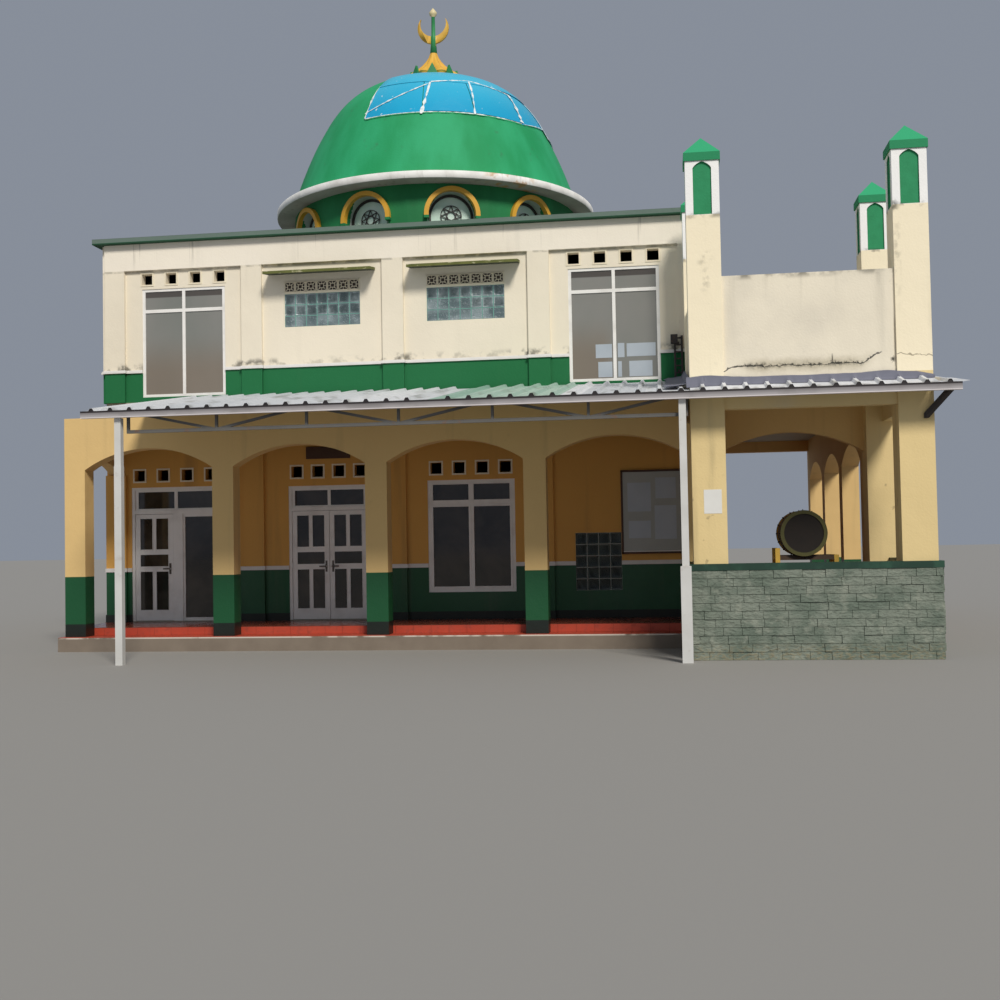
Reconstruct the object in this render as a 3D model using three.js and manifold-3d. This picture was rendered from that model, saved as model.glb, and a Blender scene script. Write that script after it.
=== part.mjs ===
// A two-storey mosque: a prayer hall under a green dome, an arcaded veranda with a sheet
// canopy along its front, and a square corner porch with four pinnacles and a side gallery.
// Millimetres, +Z up, +X to the right along the front, +Y into the depth of the building.
// The origin lies on the ground below the middle of the dome.
import * as THREE from "three";
import { mergeVertices } from "three/addons/utils/BufferGeometryUtils.js";
import Module from "manifold-3d";

const wasm = await Module();
wasm.setup();

// Driving dimensions of the hall
const bay = 2620;
const hallHalfDepth = 4340;
const pilasterWidth = 384;
const pilasterProud = 60;
const wallThickness = 150;
const hallHalfWidth = 2 * bay + pilasterWidth / 2;
const front = -hallHalfDepth;
const back = hallHalfDepth;

// Levels above the ground
const hallFloorTop = 390;
const verandaFloorTop = 370;
const lowerTreadTop = 236;
const upperFloorBottom = 4250;
const upperFloorTop = 4400;
const beamBottom = 6830;
const upperWallTop = 7320;
const roofTop = 7420;

// Arcade, shared by the veranda, the porch and the gallery
const pillarWidth = 365;
const pillarDepth = 320;
const arcadeFace = front - 1706;
const firstPillar = -2 * bay + 47;
const archSpring = 3063;
const archRise = 342;
const arcadeTop = 3950;

// Corner porch
const porchLeft = 5130;
const porchRight = 8470;
const porchFace = front - 3680;
const pierWidth = 480;
const pierSpacing = 2747;
const porchRear = porchFace + pierSpacing;
const claddingProud = 40;
const baseTop = 1264;
const copingTop = 1357;
const porchBeamBottom = 3550;
const porchRoofBottom = 4000;
const porchRoofTop = 4150;
const parapetTop = 5456;
const baseThickness = 200;
const porchOuterLeft = porchLeft - claddingProud;
const porchOuterRight = porchRight + claddingProud;
const porchInnerLeft = porchOuterLeft + baseThickness;
const porchInnerRight = porchOuterRight - baseThickness;
const pinnacleBottom = 6350;
const capBottom = 7128;
const capBandHeight = 118;
const capOverhang = 20;
const pinnacleTop = 7530;

// Canopy of folded steel sheet
const canopyLeft = -3850;
const canopyRight = 8750;
const canopyFront = front - 4100;
const canopyFrontTop = 3805;
const canopyWallTop = 4475;
const porchSheetRise = 115;
const sideSheetRear = porchFace + 1020;
const sheetThickness = 30;
const postWidth = 100;
const postLine = front - 3950;
const chordBottom = 3440;
const fasciaDrop = 137;
const strutFoot = { x: 8356, z: 3367 };
const leftPost = { centre: -3300, casingWidth: 110, casingTop: 2950 };
const rightPost = { centre: 5010, casingWidth: 150, casingTop: 1340 };

// Dome and finial
const drumRadius = 3000;
const drumThickness = 200;
const rimRadius = 3370;
const rimBottom = 8570;
const rimTop = 8715;
const ovalRadius = 3239;
const ovalCentre = 5126;
const ovalRise = 6332;
const ovalFullness = 0.545;
const flareTop = 10400;
const flareReach = 140;
const shellThickness = 120;

// Clearance kept where a piece rests on a sloping or rounded neighbour
const seatGap = 0.3;

const paint = (color, roughness, metalness = 0) =>
  new THREE.MeshStandardMaterial({ color, roughness, metalness });
const material = {
  cream: paint(0xf0e4cd, 0.85),
  porchYellow: paint(0xeee0be, 0.85),
  ochre: paint(0xe8c980, 0.8),
  floorTile: paint(0xa4442e, 0.4),
  concrete: paint(0x9a978f, 0.9),
  roof: paint(0x3c5550, 0.8),
  green: paint(0x2da064, 0.6),
  white: paint(0xf2f2ee, 0.6),
  stone: paint(0x788778, 0.95),
  steel: paint(0x8f9492, 0.5, 0.6),
  sheet: paint(0xa9b0ae, 0.45, 0.5),
  whiteFrame: paint(0xf4f4f0, 0.5),
  glass: paint(0x3a4a48, 0.1),
  yellow: paint(0xe1af3c, 0.6),
  board: paint(0xc9cfca, 0.6),
  wood: paint(0x5b4630, 0.7),
};

const mosque = new THREE.Group();
mosque.name = "mosque";

// Turns a three.js geometry into a solid that can be joined and cut
function solidOf(geometry) {
  geometry.deleteAttribute("normal");
  geometry.deleteAttribute("uv");
  const merged = mergeVertices(geometry, 1e-3);
  return new wasm.Manifold(
    new wasm.Mesh({
      numProp: 3,
      vertProperties: merged.attributes.position.array,
      triVerts: new Uint32Array(merged.index.array),
    }),
  );
}

// Adds a solid to the building as a named mesh
function addPart(name, solid, finish) {
  const mesh = solid.getMesh();
  const geometry = new THREE.BufferGeometry();
  geometry.setAttribute("position", new THREE.BufferAttribute(mesh.vertProperties, 3));
  geometry.setIndex(new THREE.BufferAttribute(mesh.triVerts, 1));
  geometry.computeVertexNormals();
  const part = new THREE.Mesh(geometry, finish);
  part.name = name;
  mosque.add(part);
}

const join = (solids) => solids.reduce((whole, piece) => whole.add(piece));
const cut = (solid, tools) => tools.reduce((rest, tool) => rest.subtract(tool), solid);

// A box between two corners
function block(x0, x1, y0, y1, z0, z1) {
  const geometry = new THREE.BoxGeometry(x1 - x0, y1 - y0, z1 - z0);
  geometry.translate((x0 + x1) / 2, (y0 + y1) / 2, (z0 + z1) / 2);
  return solidOf(geometry);
}

const axisX = new THREE.Vector3(1, 0, 0);
const axisY = new THREE.Vector3(0, 1, 0);
const axisZ = new THREE.Vector3(0, 0, 1);
const towardsFront = new THREE.Vector3(0, -1, 0);

// An outline drawn in X and Z, as seen from the front, and given depth from y0 to y1
function frontPanel(shape, y0, y1, curveSegments = 12) {
  const geometry = new THREE.ExtrudeGeometry(shape, {
    depth: y1 - y0,
    bevelEnabled: false,
    curveSegments,
  });
  geometry.applyMatrix4(new THREE.Matrix4().makeBasis(axisX, axisZ, towardsFront));
  geometry.translate(0, y1, 0);
  return solidOf(geometry);
}

// An outline drawn in Y and Z, as seen from the side, and given width from x0 to x1
function sidePanel(shape, x0, x1, curveSegments = 12) {
  const geometry = new THREE.ExtrudeGeometry(shape, {
    depth: x1 - x0,
    bevelEnabled: false,
    curveSegments,
  });
  geometry.applyMatrix4(new THREE.Matrix4().makeBasis(axisY, axisZ, axisX));
  geometry.translate(x0, 0, 0);
  return solidOf(geometry);
}

// A closed outline through straight corners
function polygon(corners) {
  return new THREE.Shape(corners.map(([x, y]) => new THREE.Vector2(x, y)));
}

// A doorway outline whose head is a shallow arc
function archOutline(left, right, bottom, spring, rise) {
  const half = (right - left) / 2;
  const radius = (half * half + rise * rise) / (2 * rise);
  const centre = spring + rise - radius;
  const angle = Math.asin(half / radius);
  const shape = new THREE.Shape();
  shape.moveTo(left, bottom);
  shape.lineTo(right, bottom);
  shape.absarc((left + right) / 2, centre, radius, Math.PI / 2 - angle, Math.PI / 2 + angle, false);
  return shape;
}

// A tall panel outline whose head is a low point on rounded shoulders
function pointedOutline(centre, width, bottom, shoulder, top) {
  const half = width / 2;
  const shape = new THREE.Shape();
  shape.moveTo(centre - half, bottom);
  shape.lineTo(centre + half, bottom);
  shape.lineTo(centre + half, shoulder);
  shape.quadraticCurveTo(centre + half * 0.75, top - (top - shoulder) * 0.35, centre, top);
  shape.quadraticCurveTo(centre - half * 0.75, top - (top - shoulder) * 0.35, centre - half, shoulder);
  return shape;
}

// A ring or bowl turned about the upright axis of the dome
function turned(profile, segments = 48) {
  const points = profile.map(([radius, z]) => new THREE.Vector2(radius, z));
  const geometry = new THREE.LatheGeometry(points, segments);
  geometry.applyMatrix4(new THREE.Matrix4().makeBasis(axisX, axisZ, towardsFront));
  return solidOf(geometry);
}

const pierPlaces = [
  ["porch_pier_front_left", porchLeft, porchFace],
  ["porch_pier_front_right", porchRight - pierWidth, porchFace],
  ["porch_pier_rear_left", porchLeft, porchRear],
  ["porch_pier_rear_right", porchRight - pierWidth, porchRear],
];

// The space that the four corner piers take between two levels, as tools for cutting
const pierBlocks = (z0, z1) =>
  pierPlaces.map(([, x, y]) => block(x, x + pierWidth, y, y + pierWidth, z0 - 10, z1 + 10));

// A plain pillar carries the left side of the porch where the arcade ends
const middlePierLeft = firstPillar + 4 * bay - pillarWidth / 2;
const middlePierBlock = (z0, z1) =>
  block(
    middlePierLeft, middlePierLeft + pillarWidth, arcadeFace, arcadeFace + pillarDepth,
    z0 - 10, z1 + 10,
  );

// Floors

function hallFloor() {
  return block(-hallHalfWidth, hallHalfWidth, front, back, 0, hallFloorTop);
}

// The veranda has a red lower tread in line with the pillars and a raised floor behind them
function verandaFloor() {
  const treadFront = arcadeFace - 150;
  const raisedFront = arcadeFace + pillarDepth;
  const tread = block(-hallHalfWidth, porchOuterLeft, treadFront, raisedFront, 0, lowerTreadTop);
  const raised = block(-hallHalfWidth, porchInnerLeft, raisedFront, front, 0, verandaFloorTop);
  return cut(join([tread, raised]), pierBlocks(0, verandaFloorTop));
}

// The porch floor runs on behind the porch as the gallery floor, around the piers
function galleryFloor() {
  const porch = block(
    porchInnerLeft, porchInnerRight, porchFace - claddingProud + baseThickness, front,
    0, verandaFloorTop,
  );
  const landing = block(porchInnerRight, porchRight, porchRear + pierWidth, front, 0, verandaFloorTop);
  const gallery = block(hallHalfWidth, porchRight, front, back, 0, verandaFloorTop);
  return cut(join([porch, landing, gallery]), [
    ...pierBlocks(0, verandaFloorTop),
    middlePierBlock(0, verandaFloorTop),
  ]);
}

// Lower storey walls of the hall

const sideDoorway = { left: -4960, right: -3280, top: 2830 };
const mainDoorway = { left: -1982, right: -492, top: 2790 };
const frontWindow = { left: 570, right: 2130, bottom: 848, top: 2831 };
const blockPanel = { left: 3180, right: 3980, bottom: 851, top: 1851 };
const ventSize = 200;
const ventBottom = 2945;

// Four square vents in a row, cut right through a front wall
function ventCuts(left, right, bottom, y0, y1) {
  const step = (right - left - ventSize) / 3;
  return [0, 1, 2, 3].map((i) => {
    const x = left + i * step;
    return block(x, x + ventSize, y0, y1, bottom, bottom + ventSize);
  });
}

const frontInner = front + wallThickness;
const lowerWall = (x0, x1, z0 = hallFloorTop) =>
  block(x0, x1, front, frontInner, z0, upperFloorBottom);
const lowerVents = (opening) =>
  ventCuts(opening.left + 60, opening.right - 60, ventBottom, front - 10, frontInner + 10);

// Pilasters of the lower storey, in line with those above, end below the veranda's ceiling
const verandaCeilingBottom = arcadeTop - 150;
const lowerPilaster = (i, top = verandaCeilingBottom) =>
  block(
    i * bay - pilasterWidth / 2, i * bay + pilasterWidth / 2, front - pilasterProud, front,
    verandaFloorTop, top,
  );
const windowHole = (hole, y0, y1) => block(hole.left, hole.right, y0, y1, hole.bottom, hole.top);

function frontWallRight() {
  const pilasters = [0, 1, 2].map((i) => lowerPilaster(i));
  const wall = join([lowerWall(mainDoorway.right, hallHalfWidth), ...pilasters]);
  const y0 = front - 10;
  const y1 = frontInner + 10;
  return cut(wall, [
    windowHole(frontWindow, y0, y1),
    windowHole(blockPanel, y0, y1),
    ...lowerVents(frontWindow),
  ]);
}

// Windows of the lower storey that repeat along the sides and the back
const lowerWindowWidth = 1560;
const lowerWindowBottom = frontWindow.bottom;
const lowerWindowTop = frontWindow.top;
const sideWindowCentres = [-2170, 1050];
const backWindowCentres = [-bay * 1.5, 0, bay * 1.5];

function sideWindowCuts(x0, x1, centres, width, z0, z1) {
  return centres.map((y) => block(x0 - 100, x1 + 100, y - width / 2, y + width / 2, z0, z1));
}

function backWindowCuts(centres, width, z0, z1) {
  return centres.map((x) =>
    block(x - width / 2, x + width / 2, back - wallThickness - 100, back + 100, z0, z1),
  );
}

function lowerSideWall(x0, x1) {
  const wall = block(
    x0, x1, front + wallThickness, back - wallThickness, hallFloorTop, upperFloorBottom,
  );
  return cut(
    wall,
    sideWindowCuts(x0, x1, sideWindowCentres, lowerWindowWidth, lowerWindowBottom, lowerWindowTop),
  );
}

function lowerBackWall() {
  const wall = block(
    -hallHalfWidth, hallHalfWidth, back - wallThickness, back, hallFloorTop, upperFloorBottom,
  );
  return cut(
    wall,
    backWindowCuts(backWindowCentres, lowerWindowWidth, lowerWindowBottom, lowerWindowTop),
  );
}

// A sheet of glass behind the windows of three walls, open towards the front
function glassScreen(z0, z1, thickness, frontEnd) {
  const x = hallHalfWidth - wallThickness;
  const y = back - wallThickness;
  return cut(block(-x, x, frontEnd, y, z0, z1), [
    block(-x + thickness, x - thickness, frontEnd - 10, y - thickness, z0 - 10, z1 + 10),
  ]);
}

// Upper storey walls of the hall, with pilasters and a beam that stand proud of them

const blockWindow = { width: 1400, bottom: 5675, top: 6275 };
const tallWindow = { left: 3139, right: 4727, bottom: 4490, top: 6487 };
const upperVentBottom = 6570;
const upperSideCentres = [-2780, 0, 2780];
const upperBackCentres = [-bay * 1.5, -bay / 2, bay / 2, bay * 1.5];

const mirrored = (hole) => ({ ...hole, left: -hole.right, right: -hole.left });

function upperFrontWall() {
  const face = front - pilasterProud;
  const wall = block(-hallHalfWidth, hallHalfWidth, front, frontInner, upperFloorTop, upperWallTop);
  const beam = block(-hallHalfWidth, hallHalfWidth, face, front, beamBottom, upperWallTop);
  const pilasters = [-2, -1, 0, 1, 2].map((i) =>
    block(i * bay - pilasterWidth / 2, i * bay + pilasterWidth / 2, face, front, upperFloorTop, beamBottom),
  );
  const y0 = face - 10;
  const y1 = frontInner + 10;
  const blockHoles = [-bay / 2, bay / 2].map((x) =>
    block(x - blockWindow.width / 2, x + blockWindow.width / 2, y0, y1, blockWindow.bottom, blockWindow.top),
  );
  const tallHoles = [tallWindow, mirrored(tallWindow)].flatMap((hole) => [
    windowHole(hole, y0, y1),
    ...ventCuts(hole.left, hole.right, upperVentBottom, y0, y1),
  ]);
  return cut(join([wall, beam, ...pilasters]), [...blockHoles, ...tallHoles]);
}

// The sides and the back repeat the pilasters, the beam and the glass block windows
function upperSideWall(side) {
  const inner = side * (hallHalfWidth - wallThickness);
  const outer = side * hallHalfWidth;
  const proud = side * (hallHalfWidth + pilasterProud);
  const span = (a, b, y0, y1, z0, z1) => block(Math.min(a, b), Math.max(a, b), y0, y1, z0, z1);
  const y0 = front + wallThickness;
  const y1 = back - wallThickness;
  const wall = span(inner, outer, y0, y1, upperFloorTop, upperWallTop);
  const beam = span(outer, proud, front, back, beamBottom, upperWallTop);
  const centres = [-1, -1 / 3, 1 / 3, 1].map((share) => share * (hallHalfDepth - pilasterWidth / 2));
  const pilasters = centres.map((y) =>
    span(outer, proud, y - pilasterWidth / 2, y + pilasterWidth / 2, upperFloorTop, beamBottom),
  );
  const holes = sideWindowCuts(
    Math.min(inner, proud), Math.max(inner, proud), upperSideCentres,
    blockWindow.width, blockWindow.bottom, blockWindow.top,
  );
  return cut(join([wall, beam, ...pilasters]), holes);
}

function upperBackWall() {
  const x = hallHalfWidth;
  const wall = block(-x, x, back - wallThickness, back, upperFloorTop, upperWallTop);
  const beam = block(-x, x, back, back + pilasterProud, beamBottom, upperWallTop);
  const pilasters = [-2, -1, 0, 1, 2].map((i) =>
    block(
      i * bay - pilasterWidth / 2, i * bay + pilasterWidth / 2, back, back + pilasterProud,
      upperFloorTop, beamBottom,
    ),
  );
  return cut(
    join([wall, beam, ...pilasters]),
    backWindowCuts(upperBackCentres, blockWindow.width, blockWindow.bottom, blockWindow.top),
  );
}

// A cast slab over a window that throws off the rain
function awning(centre) {
  const half = 985;
  const reach = 380;
  const edgeTop = 6627;
  const edge = 50;
  const slope = 60;
  const shape = polygon([
    [front, edgeTop - edge + slope],
    [front, edgeTop + slope],
    [front - reach, edgeTop],
    [front - reach, edgeTop - edge],
  ]);
  return sidePanel(shape, centre - half, centre + half);
}

// Roof, drum and dome

const roofOverhang = 120;
const drumInner = drumRadius - drumThickness;

function roofSlab() {
  const x = hallHalfWidth + pilasterProud + roofOverhang;
  const y = hallHalfDepth + pilasterProud + roofOverhang;
  const slab = block(-x, x, -y, y, upperWallTop, roofTop);
  const z0 = upperWallTop - 10;
  const z1 = roofTop + 10;
  return cut(slab, [turned([[0, z0], [drumInner, z0], [drumInner, z1], [0, z1]])]);
}

const drumWindow = { count: 11, width: 890, bottom: 7620, spring: 7970 };

// Arched windows stand around the drum, with a pier between two of them at the front
function drum() {
  const ring = turned([
    [drumInner, roofTop], [drumRadius, roofTop], [drumRadius, rimBottom], [drumInner, rimBottom],
    [drumInner, roofTop],
  ]);
  const half = drumWindow.width / 2;
  const holes = Array.from({ length: drumWindow.count }, (_, i) => {
    const outline = new THREE.Shape();
    outline.moveTo(-half, drumWindow.bottom);
    outline.lineTo(half, drumWindow.bottom);
    outline.absarc(0, drumWindow.spring, half, 0, Math.PI, false);
    const tool = frontPanel(outline, -drumRadius - 100, -drumInner + 300, 8);
    return tool.rotate([0, 0, ((i + 0.5) * 360) / drumWindow.count]);
  });
  return cut(ring, holes);
}

function drumGlazing() {
  const outer = drumInner - 0.5;
  const inner = outer - 20;
  const z0 = drumWindow.bottom - 60;
  const z1 = rimBottom;
  return turned([[inner, z0], [outer, z0], [outer, z1], [inner, z1], [inner, z0]]);
}

function domeRim() {
  return turned([
    [drumInner - 60, rimBottom], [rimRadius, rimBottom], [rimRadius, rimTop], [drumInner - 60, rimTop],
    [drumInner - 60, rimBottom],
  ]);
}

// The shell follows a tall oval, built only above the rim, and flares at its foot
function domeProfile(inset, bottom, steps) {
  const start = Math.asin((bottom - ovalCentre) / (ovalRise - inset));
  return Array.from({ length: steps + 1 }, (_, i) => {
    const angle = start + ((Math.PI / 2 - start) * i) / steps;
    const z = ovalCentre + (ovalRise - inset) * Math.sin(angle);
    const flare = flareReach * Math.max(0, (flareTop - z) / (flareTop - rimTop)) ** 1.3;
    const radius = (ovalRadius - inset) * Math.cos(angle) ** ovalFullness + flare;
    return [i === steps ? 0 : radius, z];
  });
}

function domeShell() {
  const outer = domeProfile(0, rimTop, 18);
  const inner = domeProfile(shellThickness, rimTop, 8).reverse();
  return turned([...outer, ...inner, outer[0]]);
}

const crownTop = ovalCentre + ovalRise;
const skirtTop = crownTop + 830;

// A star with a given number of petals, cut flat at each level and joined from level to level
function starLoft(levels, petals) {
  const around = petals * 2;
  const positions = [];
  const indices = [];
  levels.forEach(({ z, tip, valley }) => {
    for (let i = 0; i < around; i++) {
      const angle = (i * Math.PI) / petals;
      const radius = i % 2 ? valley : tip;
      positions.push(radius * Math.cos(angle), radius * Math.sin(angle), z);
    }
  });
  const last = (levels.length - 1) * around;
  positions.push(0, 0, levels[0].z, 0, 0, levels[levels.length - 1].z);
  const bottomCentre = levels.length * around;
  for (let i = 0; i < around; i++) {
    const next = (i + 1) % around;
    for (let level = 0; level < levels.length - 1; level++) {
      const a = level * around;
      indices.push(a + i, a + next, a + around + next, a + i, a + around + next, a + around + i);
    }
    indices.push(bottomCentre, next, i, bottomCentre + 1, last + i, last + next);
  }
  const geometry = new THREE.BufferGeometry();
  geometry.setAttribute("position", new THREE.BufferAttribute(new Float32Array(positions), 3));
  geometry.setIndex(indices);
  return solidOf(geometry);
}

// The flared foot of the finial closes the crown of the dome
function finialSkirt() {
  const base = crownTop - 20;
  const star = starLoft(
    [
      { z: base - 60, tip: 500, valley: 440 },
      { z: crownTop + 350, tip: 580, valley: 420 },
      { z: crownTop + 440, tip: 340, valley: 250 },
      { z: crownTop + 560, tip: 200, valley: 140 },
      { z: skirtTop, tip: 85, valley: 75 },
    ],
    8,
  );
  return cut(star, [turned([[0, rimTop], ...domeProfile(-seatGap, rimTop, 18)])]);
}

// The mast carries an open crescent and a bud
function finialMast() {
  const mastTop = skirtTop + 810;
  const mast = turned(
    [
      [0, skirtTop + seatGap], [78, skirtTop + seatGap], [45, skirtTop + 380], [38, mastTop],
      [75, mastTop + 40], [85, mastTop + 95], [45, mastTop + 150], [0, mastTop + 205],
    ],
    16,
  );
  const centre = skirtTop + 560;
  const outer = new THREE.Shape();
  outer.absarc(0, centre, 340, 0, Math.PI * 2, false);
  const inner = new THREE.Shape();
  inner.absarc(0, centre + 105, 285, 0, Math.PI * 2, false);
  const moon = cut(frontPanel(outer, -28, 28, 16), [frontPanel(inner, -40, 40, 16)]);
  return join([moon, mast]);
}

// Veranda

// A wall of arches: openings run from the floor to a shallow head
function arcadeWall() {
  const left = firstPillar - pillarWidth / 2;
  const plate = block(left, middlePierLeft, arcadeFace, arcadeFace + pillarDepth, lowerTreadTop, arcadeTop);
  const openings = [0, 1, 2, 3].map((i) => {
    const x0 = firstPillar + i * bay + pillarWidth / 2;
    const x1 = x0 + bay - pillarWidth;
    return frontPanel(
      archOutline(x0, x1, lowerTreadTop - 10, archSpring, archRise),
      arcadeFace - 10,
      arcadeFace + pillarDepth + 10,
    );
  });
  return cut(plate, openings);
}

// A short arch closes the left end of the veranda
function endArch() {
  const x0 = firstPillar - pillarWidth / 2;
  const y0 = arcadeFace + pillarDepth;
  const shape = archOutline(y0, front, archSpring - 60, archSpring, 220);
  const plate = block(x0, x0 + 200, y0, front, archSpring - 40, arcadeTop);
  return cut(plate, [sidePanel(shape, x0 - 10, x0 + 210)]);
}

function verandaCeiling() {
  return block(
    firstPillar - pillarWidth / 2 + 200, porchLeft, arcadeFace + pillarDepth, front,
    verandaCeilingBottom, arcadeTop,
  );
}

// Canopy

// Height of the top of the sheets at a given depth
const sheetTopAt = (y) =>
  canopyFrontTop + ((y - canopyFront) / (front - canopyFront)) * (canopyWallTop - canopyFrontTop);

// In front of the porch the sheets rise more steeply to its wall
const porchSheetTopAt = (y) =>
  canopyFrontTop + ((y - canopyFront) / (porchFace - canopyFront)) * porchSheetRise;

function slopedStrip(x0, x1, y0, y1, below, thickness, topAt = sheetTopAt) {
  const shape = polygon([
    [y0, topAt(y0) - below - thickness],
    [y1, topAt(y1) - below - thickness],
    [y1, topAt(y1) - below],
    [y0, topAt(y0) - below],
  ]);
  return sidePanel(shape, x0, x1);
}

// The sheets reach the hall wall on the left, stop at the porch front and pass it on the right
function canopySheet() {
  const porchStart = porchLeft - seatGap;
  const porchEnd = porchRight + seatGap;
  const wallEnd = front - pilasterProud - seatGap;
  return join([
    slopedStrip(canopyLeft, porchStart, canopyFront, wallEnd, 0, sheetThickness),
    slopedStrip(porchStart, porchEnd, canopyFront, porchFace - seatGap, 0, sheetThickness, porchSheetTopAt),
    slopedStrip(porchEnd, canopyRight, canopyFront, sideSheetRear, 0, sheetThickness),
  ]);
}

// Rafters and purlins of light steel below the sheets, with a flat truss on the post line
function canopyFrame() {
  const rafterDepth = 80;
  const rafterWidth = 45;
  const spacing = 1375;
  const right = porchLeft - 60;
  const left = right - 6 * spacing;
  const rear = front - pilasterProud - seatGap;
  const below = sheetThickness + seatGap;
  const rafters = Array.from({ length: 7 }, (_, i) => {
    const x = left + i * spacing;
    return slopedStrip(x - rafterWidth / 2, x + rafterWidth / 2, canopyFront + 60, rear, below, rafterDepth);
  });
  const purlins = [0, 1, 2].map((i) => {
    const y = canopyFront + 900 + i * 1250;
    return slopedStrip(left, right, y - 25, y + 25, below, rafterDepth / 2);
  });
  const y0 = postLine - 20;
  const y1 = postLine + 20;
  const topChordTop = sheetTopAt(postLine) - below - 10;
  const chords = [
    block(left, right, y0, y1, chordBottom, chordBottom + 50),
    block(left, right, y0, y1, topChordTop - 60, topChordTop),
  ];
  const webs = Array.from({ length: 7 }, (_, i) => {
    const x = left + i * spacing;
    return block(x - 20, x + 20, y0, y1, chordBottom, topChordTop);
  });
  const diagonals = Array.from({ length: 6 }, (_, i) => {
    const x = left + i * spacing;
    const rising = i % 2 ? 1 : -1;
    const [za, zb] = rising > 0 ? [chordBottom + 5, topChordTop - 45] : [topChordTop - 45, chordBottom + 5];
    return frontPanel(polygon([[x, za], [x + spacing, zb], [x + spacing, zb + 40], [x, za + 40]]), y0, y1);
  });
  return join([...rafters, ...purlins, ...chords, ...webs, ...diagonals]);
}

// A folded gutter board along the front edge, with a strut back to the porch pier
function canopyFascia() {
  const bottom = canopyFrontTop - fasciaDrop;
  const top = canopyFrontTop - sheetThickness - seatGap;
  const shape = polygon([
    [canopyFront - 40, bottom],
    [canopyFront + 40, bottom],
    [canopyFront + 40, bottom + 12],
    [canopyFront - 28, bottom + 12],
    [canopyFront - 28, top - 12],
    [canopyFront + 40, top - 12],
    [canopyFront + 40, top],
    [canopyFront - 40, top],
  ]);
  return sidePanel(shape, canopyLeft, canopyRight);
}

// An outrigger under the overhanging end of the sheets, with a strut down to the porch pier
function canopyStrut() {
  const y0 = porchFace + 20;
  const y1 = y0 + 45;
  const foot = porchRight + seatGap;
  const headX = canopyRight - 60;
  const armDepth = 40;
  const below = sheetThickness + seatGap;
  const head = sheetTopAt(y0) - below;
  const rear = sideSheetRear - 60;
  const outrigger = slopedStrip(headX - 45, headX, canopyFront + 40 + seatGap, rear, below, armDepth);
  const arm = block(foot, headX, y0, y1, head - armDepth, head - 5);
  const barFoot = block(
    strutFoot.x - 30, strutFoot.x + 30, porchFace - 45, porchFace - seatGap,
    strutFoot.z - 36, strutFoot.z + 36,
  );
  const headY = porchFace - 240;
  const underside = sheetTopAt(headY) - below - armDepth;
  const barHead = block(headX - 45, headX + 15, headY - 30, headY + 30, underside - 60, underside + 10);
  return join([outrigger, arm, wasm.Manifold.hull([barFoot, barHead])]);
}

function canopyPost({ centre, casingWidth, casingTop }) {
  const half = postWidth / 2;
  const y = postLine - 20 - half - seatGap;
  const top = canopyFrontTop - fasciaDrop - seatGap;
  const shaft = block(centre - half, centre + half, y - half, y + half, 0, top);
  const casing = casingWidth / 2;
  const foot = block(centre - casing, centre + casing, y - casing, y + half, 0, casingTop);
  return join([shaft, foot]);
}

// Corner porch

// A square pier that ends in a pinnacle with sunk panels and a low pyramid
function porchPier(x, y) {
  const cx = x + pierWidth / 2;
  const cy = y + pierWidth / 2;
  const shaft = block(x, x + pierWidth, y, y + pierWidth, 0, capBottom);
  const sunk = 25;
  const panel = pointedOutline(0, 262, pinnacleBottom, capBottom - 106, capBottom - 10);
  const cuts = [0, 90, 180, 270].map((turn) =>
    frontPanel(panel, -pierWidth / 2 - 10, -pierWidth / 2 + sunk, 4)
      .rotate([0, 0, turn])
      .translate([cx, cy, 0]),
  );
  const half = pierWidth / 2 + capOverhang;
  const band = block(cx - half, cx + half, cy - half, cy + half, capBottom, capBottom + capBandHeight);
  const roof = new THREE.ConeGeometry(half * Math.SQRT2, pinnacleTop - capBottom - capBandHeight, 4);
  roof.rotateX(Math.PI / 2);
  roof.rotateZ(Math.PI / 4);
  roof.translate(cx, cy, (pinnacleTop + capBottom + capBandHeight) / 2);
  return join([cut(shaft, cuts), band, solidOf(roof)]);
}

// The low wall between the piers, faced with stone and topped by a coping
function porchBaseWall() {
  const x0 = porchOuterLeft;
  const x1 = porchOuterRight;
  const y0 = porchFace - claddingProud;
  const rear = porchRear + pierWidth;
  const lip = 22;
  const ring = (grow, z0, z1) =>
    join([
      block(x0 - grow, x1 + grow, y0 - grow, y0 + baseThickness + grow, z0, z1),
      block(x0 - grow, x0 + baseThickness + grow, y0, arcadeFace, z0, z1),
      block(x1 - baseThickness - grow, x1 + grow, y0, rear, z0, z1),
    ]);
  return cut(join([ring(0, 0, baseTop), ring(lip, baseTop, copingTop)]), pierBlocks(0, copingTop));
}

// The walls above the openings, with the parapet around the porch roof
function porchUpperWall() {
  const inset = 40;
  const thickness = 180;
  const x0 = porchLeft + inset;
  const x1 = porchRight - inset;
  const y0 = porchFace + inset;
  const y1 = porchRear + pierWidth - inset;
  const innerLeft = porchLeft + pierWidth;
  const innerRight = porchRight - pierWidth;
  const innerFront = porchFace + pierWidth;
  const frontWall = block(innerLeft, innerRight, y0, y0 + thickness, porchBeamBottom, parapetTop);
  const leftWall = block(x0, x0 + thickness, innerFront, porchRear, porchBeamBottom, parapetTop);
  const rightWall = block(x1 - thickness, x1, innerFront, porchRear, porchBeamBottom, parapetTop);
  const roof = block(
    x0 + thickness, x1 - thickness, y0 + thickness, y1 - thickness, porchRoofBottom, porchRoofTop,
  );
  return cut(join([frontWall, leftWall, rightWall, roof]), pierBlocks(porchBeamBottom, parapetTop));
}

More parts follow.
